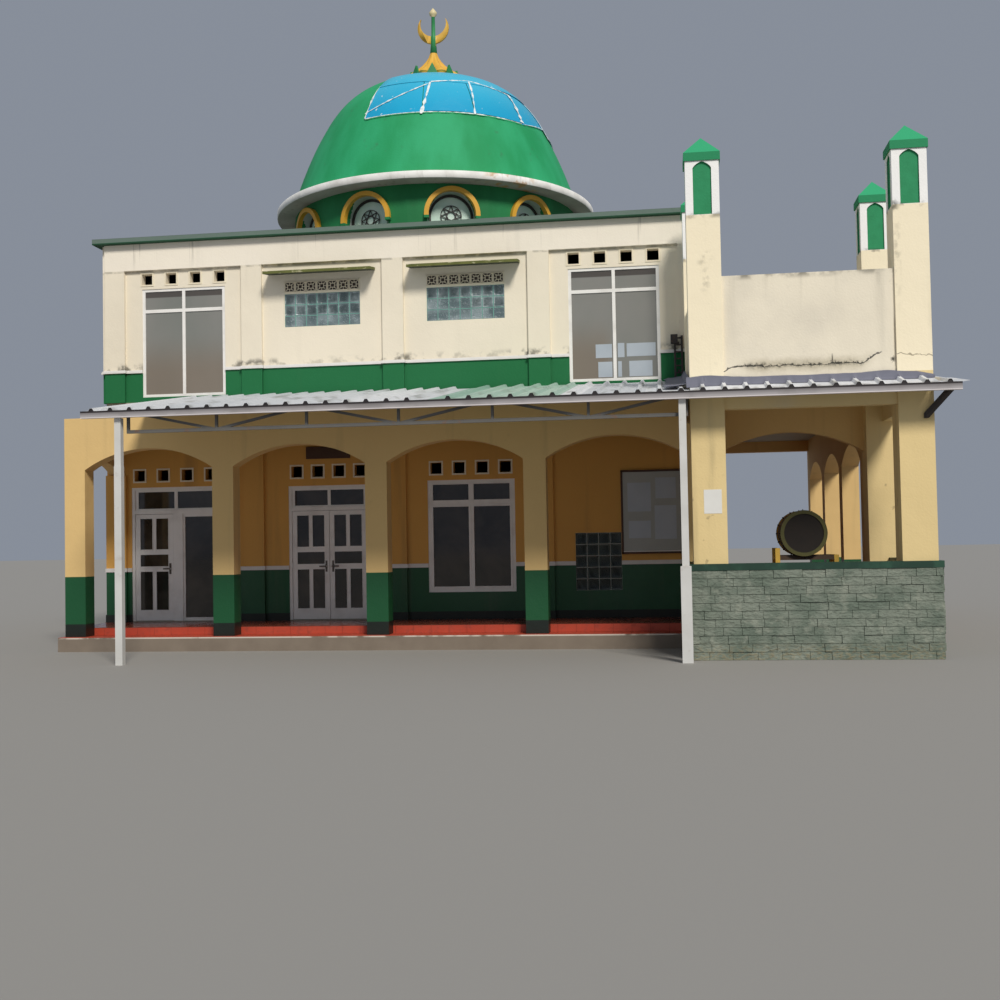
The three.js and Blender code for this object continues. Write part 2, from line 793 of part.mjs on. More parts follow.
function porchRearArch() {
  const y1 = porchRear + pierWidth - 40;
  const x0 = porchLeft + pierWidth;
  const x1 = porchRight - pierWidth;
  const plate = block(x0, x1, y1 - 180, y1, archSpring + 40, parapetTop);
  const head = archOutline(x0, x1, archSpring, archSpring + 40.3, archRise);
  return cut(plate, [frontPanel(head, y1 - 190, y1 + 10)]);
}

function porchMiddlePier() {
  return block(
    middlePierLeft, middlePierLeft + pillarWidth, arcadeFace, arcadeFace + pillarDepth,
    0, porchBeamBottom,
  );
}

// Gallery along the right side of the hall

const galleryRoofBottom = porchRoofBottom;
const galleryColumnWidth = 400;
const galleryBay = 2620;

function galleryArcade() {
  const x1 = porchRight;
  const x0 = x1 - 320;
  const y0 = porchRear + pierWidth;
  const plate = block(x0, x1, y0, back, verandaFloorTop, galleryRoofBottom);
  const columns = [3, 2, 1, 0].map((i) => back - galleryColumnWidth - i * galleryBay);
  const bays = columns.map((columnStart, i) => {
    const from = i ? columns[i - 1] + galleryColumnWidth : y0;
    return [from, columnStart];
  });
  const openings = bays.map(([from, to]) => {
    const rise = (archRise * (to - from)) / (bay - pillarWidth);
    return sidePanel(archOutline(from, to, verandaFloorTop - 10, archSpring, rise), x0 - 10, x1 + 10);
  });
  const endBeam = block(hallHalfWidth, x0, back - 200, back, 3750, galleryRoofBottom);
  return join([cut(plate, openings), endBeam]);
}

function galleryRoof() {
  return block(
    hallHalfWidth, porchRight, porchRear + pierWidth, back, galleryRoofBottom, galleryRoofBottom + 150,
  );
}

// Doors and windows

const frameDepth = 100;
const frameWidth = 55;
const leafThickness = 40;
const leafGap = 6;

// A frame with bars across it, without glass
function openFrame(hole, y0, y1, bars) {
  const outer = windowHole(hole, y0, y1);
  const inner = block(
    hole.left + frameWidth, hole.right - frameWidth, y0 - 10, y1 + 10,
    hole.bottom + (hole.sill ? frameWidth : -10), hole.top - frameWidth,
  );
  return join([cut(outer, [inner]), ...bars]);
}

// Sunk fields on both faces of a leaf or pane, each given as shares of its width and height
function sunkFields(x0, x1, y0, y1, z0, z1, fields, depth) {
  const width = x1 - x0;
  const height = z1 - z0;
  return fields.flatMap(([a, b, c, d]) => {
    const left = x0 + a * width;
    const right = x0 + b * width;
    const bottom = z0 + c * height;
    const top = z0 + d * height;
    return [
      block(left, right, y0 - 10, y0 + depth, bottom, top),
      block(left, right, y1 - depth, y1 + 10, bottom, top),
    ];
  });
}

const leafFields = [
  [0.13, 0.45, 0.1, 0.46],
  [0.55, 0.87, 0.1, 0.46],
  [0.13, 0.87, 0.51, 0.62],
  [0.13, 0.45, 0.67, 0.96],
  [0.55, 0.87, 0.67, 0.96],
];

const leafFront = front + 20;
const leafTop = 2335;
const leafBottom = hallFloorTop + leafGap;

// Barrel hinges stand a hair off the frame; the leaf turns about their middle
const hingeRadius = 8;
const hingeInset = leafGap - seatGap - hingeRadius;
const hingeLine = leafFront - 4;

function hingeBarrels(x) {
  return [leafBottom + 180, (leafBottom + leafTop) / 2, leafTop - 180].map((z) => {
    const barrel = new THREE.CylinderGeometry(hingeRadius, hingeRadius, 90, 12);
    barrel.rotateX(Math.PI / 2);
    barrel.translate(x, hingeLine, z);
    return solidOf(barrel);
  });
}

// A glazed leaf with hinge barrels on one edge and a lever handle on both faces
function doorLeaf(x0, x1, handleSide) {
  const leaf = block(x0, x1, leafFront, leafFront + leafThickness, leafBottom, leafTop);
  const fields = sunkFields(
    x0, x1, leafFront, leafFront + leafThickness, leafBottom, leafTop, leafFields, 14,
  );
  const handleX = handleSide > 0 ? x1 - 60 : x0 + 60;
  const inward = -handleSide * 110;
  const handleHeight = hallFloorTop + 950;
  const lever = (y0, y1, gripY0, gripY1) =>
    join([
      block(handleX - 12, handleX + 12, y0, y1, handleHeight - 12, handleHeight + 12),
      block(
        Math.min(handleX - 12, handleX + inward), Math.max(handleX + 12, handleX + inward),
        gripY0, gripY1, handleHeight - 10, handleHeight + 10,
      ),
    ]);
  const outside = lever(leafFront - 50, leafFront, leafFront - 62, leafFront - 44);
  const rear = leafFront + leafThickness;
  const inside = lever(rear, rear + 50, rear + 44, rear + 62);
  const hingeX = handleSide > 0 ? x0 - hingeInset : x1 + hingeInset;
  return join([cut(leaf, fields), outside, inside, ...hingeBarrels(hingeX)]);
}

const mainLeft = mainDoorway.left + frameWidth + leafGap;
const mainRight = mainDoorway.right - frameWidth - leafGap;
const mainMiddle = (mainDoorway.left + mainDoorway.right) / 2;
const sideLeafLeft = sideDoorway.left + frameWidth + leafGap;
const sideStileLeft = -4170;
const sideStileRight = -3990;
const transomBottom = leafTop + leafGap;
const transomHeight = 70;

// A fixed light: a thin panel with its glass sunk between the bars
function fixedPane(x0, x1, z0, z1, fields) {
  const y0 = front + 30;
  const y1 = y0 + 50;
  return cut(block(x0, x1, y0, y1, z0, z1), sunkFields(x0, x1, y0, y1, z0, z1, fields, 18));
}

const twoLights = [[0.04, 0.48, 0.08, 0.92], [0.52, 0.96, 0.08, 0.92]];

function mainDoorFrame() {
  const y0 = front + 10;
  const y1 = y0 + frameDepth;
  const hole = { ...mainDoorway, bottom: hallFloorTop };
  const inner = [hole.left + frameWidth, hole.right - frameWidth];
  const transom = block(inner[0], inner[1], y0, y1, transomBottom, transomBottom + transomHeight);
  const light = fixedPane(
    inner[0], inner[1], transomBottom + transomHeight, hole.top - frameWidth, twoLights,
  );
  return openFrame(hole, y0, y1, [transom, light]);
}

function sideDoorFrame() {
  const y0 = front + 10;
  const y1 = y0 + frameDepth;
  const hole = { ...sideDoorway, bottom: hallFloorTop };
  const inner = [hole.left + frameWidth, hole.right - frameWidth];
  const stile = block(sideStileLeft, sideStileRight, y0, y1, hallFloorTop, transomBottom);
  const transom = block(inner[0], inner[1], y0, y1, transomBottom, transomBottom + transomHeight);
  const pane = fixedPane(
    sideStileRight, inner[1], hallFloorTop, transomBottom, [[0.06, 0.94, 0.03, 0.97]],
  );
  const light = fixedPane(
    inner[0], inner[1], transomBottom + transomHeight, hole.top - frameWidth, twoLights,
  );
  return openFrame(hole, y0, y1, [stile, transom, pane, light]);
}

// Two casements below two fixed lights
function frontWindowUnit() {
  const { left, right, bottom, top } = frontWindow;
  const fields = [
    [0.06, 0.47, 0.05, 0.76], [0.53, 0.94, 0.05, 0.76],
    [0.06, 0.47, 0.82, 0.96], [0.53, 0.94, 0.82, 0.96],
  ];
  const y0 = front + 15;
  const y1 = y0 + 70;
  return cut(
    block(left, right, y0, y1, bottom, top),
    sunkFields(left, right, y0, y1, bottom, top, fields, 25),
  );
}

function tallWindowUnit(hole) {
  const fields = [
    [0.035, 0.482, 0.025, 0.78], [0.518, 0.965, 0.025, 0.78],
    [0.035, 0.482, 0.81, 0.975], [0.518, 0.965, 0.81, 0.975],
  ];
  const y0 = front + 15;
  const y1 = y0 + 60;
  return cut(
    windowHole(hole, y0, y1),
    sunkFields(hole.left, hole.right, y0, y1, hole.bottom, hole.top, fields, 20),
  );
}

const glassBlockDepth = 80;
const blockPanelUnit = () => windowHole(blockPanel, front + 15, front + 15 + glassBlockDepth);
const blockWindowUnit = (x) =>
  block(
    x - blockWindow.width / 2, x + blockWindow.width / 2, front + 15, front + 15 + glassBlockDepth,
    blockWindow.bottom, blockWindow.top,
  );

const noticeBoard = { left: 3985, right: 5040, bottom: 1470, top: 2920 };
const noticeBoardDepth = 50;

// The great drum that calls to prayer, slung in a low wooden stand

const drumCall = { x: 6810, y: porchFace + 1700, z: 1770, radius: 330, bulge: 0.03, length: 740 };
const drumRack = { x: 6855, half: 434, reach: 260, leftTop: 1550, rightTop: 1430 };

function callingDrum() {
  const { x, y, z, radius, bulge, length } = drumCall;
  const body = turned(
    [
      [0, -length / 2], [radius * 0.94, -length / 2], [radius, -length / 2 + 60], [radius * (1 + bulge), 0],
      [radius, length / 2 - 60], [radius * 0.94, length / 2], [0, length / 2],
    ],
    24,
  );
  return body.rotate([90, 0, 0]).translate([x, y, z]);
}

function drumStand() {
  const { y, z, radius, bulge, length } = drumCall;
  const { x, half, reach, leftTop, rightTop } = drumRack;
  const post = 70;
  const posts = [-1, 1].flatMap((sx) =>
    [-1, 1].map((sy) => {
      const px = x + sx * half;
      const py = y + sy * reach;
      const top = sx < 0 ? leftTop : rightTop;
      return block(px - post / 2, px + post / 2, py - post / 2, py + post / 2, verandaFloorTop, top);
    }),
  );
  const swell = bulge * (1 - (reach - post / 2) / (length / 2 - 60));
  const railZ = z - radius * (1 + swell) - seatGap - post;
  const crossRails = [-1, 1].map((sy) =>
    block(
      x - half - post / 2, x + half + post / 2, y + sy * reach - post / 2, y + sy * reach + post / 2,
      railZ, railZ + post,
    ),
  );
  const sideRails = [-1, 1].map((sx) => {
    const px = x + sx * half;
    return block(px - post / 2, px + post / 2, y - reach, y + reach, railZ, railZ + post);
  });
  return join([...posts, ...crossRails, ...sideRails]);
}

// Assembly

addPart("hall_floor", hallFloor(), material.concrete);
addPart("veranda_floor", verandaFloor(), material.floorTile);
addPart("gallery_floor", galleryFloor(), material.floorTile);

addPart(
  "front_wall_left_end",
  join([lowerWall(-hallHalfWidth, sideDoorway.left), lowerPilaster(-2, archSpring)]),
  material.ochre,
);
addPart(
  "front_wall_between_doors",
  join([lowerWall(sideDoorway.right, mainDoorway.left), lowerPilaster(-1)]),
  material.ochre,
);
addPart("front_wall_right", frontWallRight(), material.ochre);
addPart(
  "side_door_lintel",
  cut(lowerWall(sideDoorway.left, sideDoorway.right, sideDoorway.top), lowerVents(sideDoorway)),
  material.ochre,
);
addPart(
  "main_door_lintel",
  cut(lowerWall(mainDoorway.left, mainDoorway.right, mainDoorway.top), lowerVents(mainDoorway)),
  material.ochre,
);
addPart("left_wall_lower", lowerSideWall(-hallHalfWidth, -hallHalfWidth + wallThickness), material.ochre);
addPart("right_wall_lower", lowerSideWall(hallHalfWidth - wallThickness, hallHalfWidth), material.ochre);
addPart("back_wall_lower", lowerBackWall(), material.ochre);
addPart(
  "lower_glass",
  glassScreen(lowerWindowBottom - 60, lowerWindowTop + 60, 20, frontInner + 300),
  material.glass,
);

addPart(
  "upper_floor",
  block(-hallHalfWidth, hallHalfWidth, front, back, upperFloorBottom, upperFloorTop),
  material.concrete,
);
addPart("upper_front_wall", upperFrontWall(), material.cream);
addPart("upper_left_wall", upperSideWall(-1), material.cream);
addPart("upper_right_wall", upperSideWall(1), material.cream);
addPart("upper_back_wall", upperBackWall(), material.cream);
addPart(
  "upper_glass",
  glassScreen(blockWindow.bottom - 60, blockWindow.top + 60, 20, frontInner + 300),
  material.glass,
);
addPart("awning_left", awning(-bay / 2), material.concrete);
addPart("awning_right", awning(bay / 2), material.concrete);
addPart("roof_slab", roofSlab(), material.roof);

addPart("dome_drum", drum(), material.green);
addPart("drum_glazing", drumGlazing(), material.glass);
addPart("dome_rim", domeRim(), material.white);
addPart("dome_shell", domeShell(), material.green);
addPart("finial_skirt", finialSkirt(), material.yellow);
addPart("finial_mast", finialMast(), material.green);

addPart("arcade", arcadeWall(), material.porchYellow);
addPart("veranda_end_arch", endArch(), material.porchYellow);
addPart("veranda_ceiling", verandaCeiling(), material.concrete);

addPart("canopy_sheets", canopySheet(), material.sheet);
addPart("canopy_frame", canopyFrame(), material.steel);
addPart("canopy_fascia", canopyFascia(), material.steel);
addPart("canopy_strut", canopyStrut(), material.steel);
addPart("canopy_post_left", canopyPost(leftPost), material.steel);
addPart("canopy_post_right", canopyPost(rightPost), material.steel);

pierPlaces.forEach(([name, x, y]) => addPart(name, porchPier(x, y), material.porchYellow));
addPart("porch_middle_pier", porchMiddlePier(), material.porchYellow);
addPart("porch_base_wall", porchBaseWall(), material.stone);
addPart("porch_upper_wall", porchUpperWall(), material.porchYellow);
addPart("porch_rear_arch", porchRearArch(), material.porchYellow);

addPart("gallery_arcade", galleryArcade(), material.porchYellow);
addPart("gallery_roof", galleryRoof(), material.concrete);

addPart("main_door_frame", mainDoorFrame(), material.whiteFrame);
addPart("main_door_left", doorLeaf(mainLeft, mainMiddle - leafGap / 2 - 1, 1), material.whiteFrame);
addPart("main_door_right", doorLeaf(mainMiddle + leafGap / 2 + 1, mainRight, -1), material.whiteFrame);
addPart("side_door_frame", sideDoorFrame(), material.whiteFrame);
addPart("side_door_leaf", doorLeaf(sideLeafLeft, sideStileLeft - leafGap, 1), material.whiteFrame);
addPart("front_window", frontWindowUnit(), material.whiteFrame);
addPart("glass_block_panel", blockPanelUnit(), material.glass);
addPart("glass_block_window_left", blockWindowUnit(-bay / 2), material.glass);
addPart("glass_block_window_right", blockWindowUnit(bay / 2), material.glass);
addPart("tall_window_left", tallWindowUnit(mirrored(tallWindow)), material.whiteFrame);
addPart("tall_window_right", tallWindowUnit(tallWindow), material.whiteFrame);
addPart("notice_board", windowHole(noticeBoard, front - noticeBoardDepth, front), material.board);
addPart("calling_drum", callingDrum(), material.wood);
addPart("drum_stand", drumStand(), material.yellow);

export default mosque;
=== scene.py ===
# The looks of a two-storey mosque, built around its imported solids.
# Metres, +Z up, the front towards -Y, the dome's axis at the origin.
import math
import random

import bmesh
import bpy
from mathutils import Matrix, Vector, noise


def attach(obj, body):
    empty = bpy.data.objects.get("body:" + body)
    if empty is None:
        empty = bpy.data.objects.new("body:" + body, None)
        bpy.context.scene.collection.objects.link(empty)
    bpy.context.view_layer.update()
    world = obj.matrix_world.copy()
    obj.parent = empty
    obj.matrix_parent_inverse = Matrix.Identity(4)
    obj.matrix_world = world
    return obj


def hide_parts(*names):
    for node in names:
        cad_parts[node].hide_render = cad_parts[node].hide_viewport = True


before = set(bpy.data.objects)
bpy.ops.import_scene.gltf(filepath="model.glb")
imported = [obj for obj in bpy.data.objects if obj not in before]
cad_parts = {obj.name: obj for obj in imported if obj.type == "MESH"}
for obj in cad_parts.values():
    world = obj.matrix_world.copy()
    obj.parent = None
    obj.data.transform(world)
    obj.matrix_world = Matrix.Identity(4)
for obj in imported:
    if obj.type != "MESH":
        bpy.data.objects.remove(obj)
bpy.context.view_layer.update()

VERT, EDGE = bmesh.types.BMVert, bmesh.types.BMEdge

# Sizes of the building
BUILDING = "building"
FRONT = 4.34
SIDE = 5.432
BAY = 2.62
PROUD = 0.06
PILASTER = 0.384
FLOOR = 0.37
TREAD = 0.236
WALL_TOP = 7.32
BEAM_BOTTOM = 6.83
BAND_TOP = 4.94
DADO_TOP = 1.29
RAIL_TOP = 1.36
SKIRTING_TOP = 0.51
BLOCK = 0.2
BLOCK_WINDOW = (5.675, 6.275)
ORNAMENT_BOTTOM = 6.3
MAIN_DOOR = (-1.982, -0.492)
SIDE_DOOR = (-4.96, -3.28)
TALL_WINDOW = (3.139, 4.727, 4.49, 6.487)
FRONT_WINDOW = (0.57, 2.13, 0.848, 2.831)
BLOCK_PANEL = (3.18, 3.98, 0.851, 1.851)
VENT = 0.2
LOWER_VENTS = 2.945
UPPER_VENTS = 6.57
ARCADE_FACE = -6.046
PORCH_LEFT, PORCH_RIGHT = 5.13, 8.47
PORCH_FACE = -8.02
PIER, PIER_SPACING = 0.48, 2.747
STONE_TOP = 1.264
PIER_WHITE, PIER_CAP, CAP_SLOPE = 6.345, 7.127, 7.245
DRUM_RADIUS = 3.0
DRUM_COUNT = 11
DRUM_WALL = 0.2
DRUM_SPRING = 7.97
DRUM_SILL = 7.62
DRUM_HALF = 0.445
RIM_BOTTOM, RIM_TOP = 8.57, 8.715


# Building blocks for shapes


def box_in(shape, low, high):
    """Adds a box between two corners and returns its vertices."""
    size = [b - a for a, b in zip(low, high)]
    centre = [(a + b) / 2 for a, b in zip(low, high)]
    place = Matrix.Translation(centre) @ Matrix.Diagonal((*size, 1))
    return bmesh.ops.create_cube(shape, size=1, matrix=place)["verts"]


def bar_in(shape, start, end, width, depth):
    """Adds a straight bar between two points; its width lies across it and its depth along Y."""
    start, end = Vector(start), Vector(end)
    along = end - start
    turn = along.to_track_quat("X", "Y").to_matrix().to_4x4()
    place = Matrix.Translation((start + end) / 2) @ turn @ Matrix.Diagonal((along.length, depth, width, 1))
    return bmesh.ops.create_cube(shape, size=1, matrix=place)["verts"]


def border_in(shape, area, width, front, rear):
    """Adds four bars round a rectangle that faces the front."""
    left, right, bottom, top = area
    verts = []
    for x0, x1, z0, z1 in (
        (left - width, right + width, bottom - width, bottom),
        (left - width, right + width, top, top + width),
        (left - width, left, bottom, top),
        (right, right + width, bottom, top),
    ):
        verts += box_in(shape, (x0, front, z0), (x1, rear, z1))
    return verts


def part_of(area, shares):
    """The part of a rectangle that four shares of its width and height cut out."""
    left, right, bottom, top = area
    a, b, c, d = shares
    width, height = right - left, top - bottom
    return left + a * width, left + b * width, bottom + c * height, bottom + d * height


def grid_in(shape, columns, rows):
    """Adds a grid that reaches from 0 to 1 in X and Y and returns its vertices."""
    grid = bmesh.ops.create_grid(shape, x_segments=columns, y_segments=rows, size=0.5)["verts"]
    bmesh.ops.translate(shape, verts=grid, vec=(0.5, 0.5, 0))
    return grid


def soften(shape, width):
    """Takes the sharpness off every edge."""
    bmesh.ops.bevel(
        shape, geom=shape.edges[:], offset=width, affect="EDGES", segments=1, profile=0.5, material=-1,
        clamp_overlap=True,
    )


def only(kind, geometry):
    """Picks the vertices or edges out of some geometry."""
    return [element for element in geometry if isinstance(element, kind)]


def outline(shape, points, closed=True):
    """Adds a line of vertices through points and returns them with its edges."""
    verts = [shape.verts.new(point) for point in points]
    pairs = list(zip(verts, verts[1:]))
    if closed:
        pairs.append((verts[-1], verts[0]))
    return verts + [shape.edges.new(pair) for pair in pairs]


def drawn_out(shape, geometry, move):
    """Draws a line out into a strip, and returns the new geometry."""
    grown = bmesh.ops.extrude_edge_only(shape, edges=only(EDGE, geometry))["geom"]
    bmesh.ops.translate(shape, verts=only(VERT, grown), vec=move)
    return grown


def turned(shape, profile, steps=128, closed=True):
    """Turns a profile of radius and height about the upright axis."""
    line = outline(shape, [(radius, 0, z) for radius, z in profile], closed)
    bmesh.ops.spin(
        shape, geom=line, axis=(0, 0, 1), cent=(0, 0, 0), steps=steps, angle=2 * math.pi,
        use_merge=True, use_normal_flip=False, use_duplicate=False,
    )
    bmesh.ops.remove_doubles(shape, verts=shape.verts[:], dist=1e-5)


def thickened(shape, thickness, faces=None):
    """Gives a sheet its thickness."""
    faces = faces or shape.faces[:]
    bmesh.ops.recalc_face_normals(shape, faces=faces)
    bmesh.ops.solidify(shape, geom=faces, thickness=thickness)


def piece(name, shape, finish, body=BUILDING, replaces=(), smooth=None, turn_out=True):
    """Makes an object of a shape, gives it its finish and lets it ride on a body."""
    if turn_out:
        bmesh.ops.recalc_face_normals(shape, faces=shape.faces[:])
    mesh = bpy.data.meshes.new(name)
    shape.to_mesh(mesh)
    shape.free()
    if smooth is not None:
        mesh.shade_smooth()
        mesh.set_sharp_from_angle(angle=math.radians(smooth))
    thing = bpy.data.objects.new(name, mesh)
    bpy.context.scene.collection.objects.link(thing)
    mesh.materials.append(finish)
    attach(thing, body)
    if replaces:
        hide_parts(*replaces)
    return thing


def boxes(name, corners, finish, soft=0.0):
    """Makes a piece of boxes, each given by its sides x0, x1, y0, y1, z0, z1."""
    shape = bmesh.new()
    for x0, x1, y0, y1, z0, z1 in corners:
        box_in(shape, (x0, y0, z0), (x1, y1, z1))
    if soft:
        soften(shape, soft)
    piece(name, shape, finish)


def smooth_copy(node, finish):
    """Stands in for a turned solid with a copy whose triangles are joined and shaded smooth."""
    shape = bmesh.new()
    shape.from_mesh(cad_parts[node].data)
    bmesh.ops.remove_doubles(shape, verts=shape.verts[:], dist=1e-5)
    piece(node + "_smooth", shape, finish, replaces=[node], smooth=35, turn_out=False)


def wall_place(turn, distance):
    """Takes what is made at the origin, facing -Y, to a wall of the hall."""
    return Matrix.Rotation(turn, 4, "Z") @ Matrix.Translation((0, -distance, 0))


FACES = {
    "front": wall_place(0, FRONT),
    "right": wall_place(math.pi / 2, SIDE),
    "back": wall_place(math.pi, FRONT),
    "left": wall_place(-math.pi / 2, SIDE),
}


def on_wall(shape, verts, face):
    bmesh.ops.transform(shape, matrix=FACES[face], verts=verts)


# Shader building


class Value:
    """A socket of a material; its operators add Math nodes."""

    def __init__(self, coat, socket):
        self.coat = coat
        self.socket = socket

    def maths(self, operation, *terms):
        return self.coat.node("ShaderNodeMath", {"operation": operation}, dict(enumerate(terms)))

    def __add__(self, other):
        return self.maths("ADD", self, other)

    __radd__ = __add__

    def __sub__(self, other):
        return self.maths("SUBTRACT", self, other)

    def __rsub__(self, other):
        return self.maths("SUBTRACT", other, self)

    def __mul__(self, other):
        return self.maths("MULTIPLY", self, other)

    __rmul__ = __mul__

    def __gt__(self, other):
        return self.maths("GREATER_THAN", self, other)

    def __lt__(self, other):
        return self.maths("LESS_THAN", self, other)

    def __abs__(self):
        return self.maths("ABSOLUTE", self)

    def rise(self, low, high):
        """Goes softly from 0 at low to 1 at high."""
        return self.coat.node(
            "ShaderNodeMapRange", {"interpolation_type": "SMOOTHSTEP"}, {0: self, 1: low, 2: high}
        )

    def between(self, low, high, soft=0.002):
        """Is 1 between two values and 0 outside them."""
        return self.rise(low - soft, low + soft) * (1 - self.rise(high - soft, high + soft))


class Finish:
    """A material whose colours and bumps follow the object's own coordinates."""

    def __init__(self, name, color, roughness=0.8, metallic=0.0):
        self.color = color
        self.normal = None
        self.material = bpy.data.materials.new(name)
        self.material.use_nodes = True
        self.tree = self.material.node_tree
        self.shader = self.tree.nodes["Principled BSDF"]
        self.put(self.shader.inputs["Roughness"], roughness)
        self.put(self.shader.inputs["Metallic"], metallic)
        self.position = self.node("ShaderNodeTexCoord", {}, {}, "Object")
        split = self.node("ShaderNodeSeparateXYZ", {}, {0: self.position}).socket.node
        self.x, self.y, self.z = (Value(self, socket) for socket in split.outputs)

    def put(self, socket, value):
        """Links a value to a socket or sets it; three numbers are a colour in display values."""
        if isinstance(value, Value):
            self.tree.links.new(value.socket, socket)
        elif socket.type == "RGBA" and len(value) == 3:
            socket.default_value = linear(value)
        else:
            socket.default_value = value

    def node(self, kind, settings, inputs, output=0):
        """Adds a node: first its settings, then the values or links of its sockets."""
        made = self.tree.nodes.new(kind)
        for name, setting in settings.items():
            setattr(made, name, setting)
        for key, value in inputs.items():
            self.put(made.inputs[key], value)
        return Value(self, made.outputs[output])

    def noise(self, scale, detail=4, offset=0.0, stretch=(1, 1, 1), distortion=0.0):
        place = self.node("ShaderNodeMapping", {}, {0: self.position, 1: (offset,) * 3, 3: stretch})
        return self.node(
            "ShaderNodeTexNoise", {},
            {"Vector": place, "Scale": scale, "Detail": detail, "Distortion": distortion},
        )

    def blot(self, x, z, half_width, half_height):
        """A soft patch on a wall that faces the front."""
        across = self.x.between(x - half_width, x + half_width, half_width)
        return across * self.z.between(z - half_height, z + half_height, half_height)

    def mix(self, share, first, second):
        sockets = {0: share, 6: first, 7: second}
        return self.node("ShaderNodeMix", {"data_type": "RGBA", "blend_type": "MIX"}, sockets, 2)

    def cover(self, share, color):
        """Lays another colour over the finish, as far as the share says."""
        self.color = self.mix(share, self.color, color)

    def emboss(self, height, depth):
        """Adds a relief of some metres depth to the surface."""
        inputs = {"Height": height, "Distance": depth, "Strength": 1.0}
        if self.normal is not None:
            inputs["Normal"] = self.normal
        self.normal = self.node("ShaderNodeBump", {}, inputs)

    def done(self, height=None, depth=0.0, roughness=None):
        """Feeds the shader with the colour, the relief and the roughness where it changes."""
        if height is not None:
            self.emboss(height, depth)
        for name, value in (("Base Color", self.color), ("Roughness", roughness), ("Normal", self.normal)):
            if value is not None:
                self.put(self.shader.inputs[name], value)
        return self.material


def linear(color, fade=1.0):
    """A colour given in display values from 0 to 255, as the shader wants it."""
    shares = [value / 255 for value in color]
    return [fade * (s / 12.92 if s <= 0.04045 else ((s + 0.055) / 1.055) ** 2.4) for s in shares] + [1]


CREAM = (238, 228, 207)
BEAM_CREAM = (248, 240, 226)
YELLOW = (230, 206, 150)
PALE_YELLOW = (250, 238, 208)
OCHRE = (220, 166, 84)
BAND_GREEN = (8, 104, 56)
DADO_GREEN = (12, 80, 44)
BLACK_BASE = (14, 26, 20)
WHITE = (248, 248, 246)
DIRT = (84, 80, 68)
# Dark dirt, also used for the painted shadow under the upper beam.
DARK_DIRT_AND_SHADE = (46, 46, 40)
CRACK_BROWN = (120, 108, 84)
RUST = (126, 78, 42)


# Camera, lights and floor


def aim_camera(scene):
    """The photograph's camera, as fitted to the edges of the building."""
    lens = bpy.data.cameras.new("camera")
    lens.sensor_width = 36
    lens.lens = 43.45
    lens.clip_end = 500
    camera = bpy.data.objects.new("camera", lens)
    scene.collection.objects.link(camera)
    camera.matrix_world = (
        Matrix.Translation((4.746, -25.371, 1.740))
        @ Matrix.Rotation(0.1361, 4, "Z")
        @ Matrix.Rotation(math.pi / 2 + 0.0337, 4, "X")
        @ Matrix.Rotation(-0.0182, 4, "Z")
    )
    scene.camera = camera


def light_up(scene):
    """A soft blue sky, a warm sun from the front right and a weak one from the front left."""
    world = bpy.data.worlds.new("soft_sky")
    world.use_nodes = True
    sky = world.node_tree.nodes["Background"]
    sky.inputs["Color"].default_value = (0.72, 0.80, 0.95, 1)
    sky.inputs["Strength"].default_value = 0.34
    scene.world = world

    for name, strength, spread, tint, turn in (
        ("key_sun", 2.85, 0.25, (1.0, 0.95, 0.87), (math.radians(48), 0, math.radians(26))),
        ("fill_sun", 0.1, 1.2, (0.9, 0.95, 1.0), (math.radians(60), 0, math.radians(-40))),
    ):
        sun = bpy.data.lights.new(name, "SUN")
        sun.energy = strength
        sun.angle = spread
        sun.color = tint
        lamp = bpy.data.objects.new(name, sun)
        lamp.rotation_euler = turn
        scene.collection.objects.link(lamp)


def lay_floor(scene):
    ground = bmesh.new()
    bmesh.ops.create_grid(ground, x_segments=1, y_segments=1, size=150)
    mesh = bpy.data.meshes.new("studio_floor")
    ground.to_mesh(mesh)
    ground.free()
    plane = bpy.data.objects.new("studio_floor", mesh)
    scene.collection.objects.link(plane)
    mesh.materials.append(Finish("studio_floor_finish", (150, 148, 144), roughness=0.9).done())


def studio():
    scene = bpy.context.scene
    scene.view_settings.view_transform = "Standard"
    aim_camera(scene)
    light_up(scene)
    lay_floor(scene)


# Finishes


def weathered_wall(name, wall, bands=(), dirt=0.5, streak_top=None, seed=0.0):
    """Painted plaster with clouds of fading, bands of other paint and rain streaks below an edge."""
    coat = Finish(name, wall, roughness=0.78)
    cloud = coat.noise(0.55, detail=5, offset=seed)
    speck = coat.noise(9.0, detail=6, offset=seed + 4)
    coat.cover(cloud.rise(0.35, 0.72) * 0.5, linear(wall, fade=0.86))
    for low, high, band in bands:
        coat.cover(coat.z.between(low, high), band)
    run = coat.noise(3.4, detail=6, offset=seed + 9, stretch=(1, 1, 0.07))
    grime = run.rise(0.56, 0.78) * dirt
    if streak_top is not None:
        near_top = coat.z.rise(streak_top - 1.3, streak_top)
        grime = grime * (near_top * 0.85 + 0.15)
    coat.cover(grime, DIRT)
    coat.cover(speck.rise(0.66, 0.8) * 0.25 * dirt, DARK_DIRT_AND_SHADE)
    coat.emboss(coat.noise(34.0, detail=3, offset=seed), 0.0025)
    coat.emboss(coat.noise(2.2, detail=2, offset=seed), 0.012)
    return coat


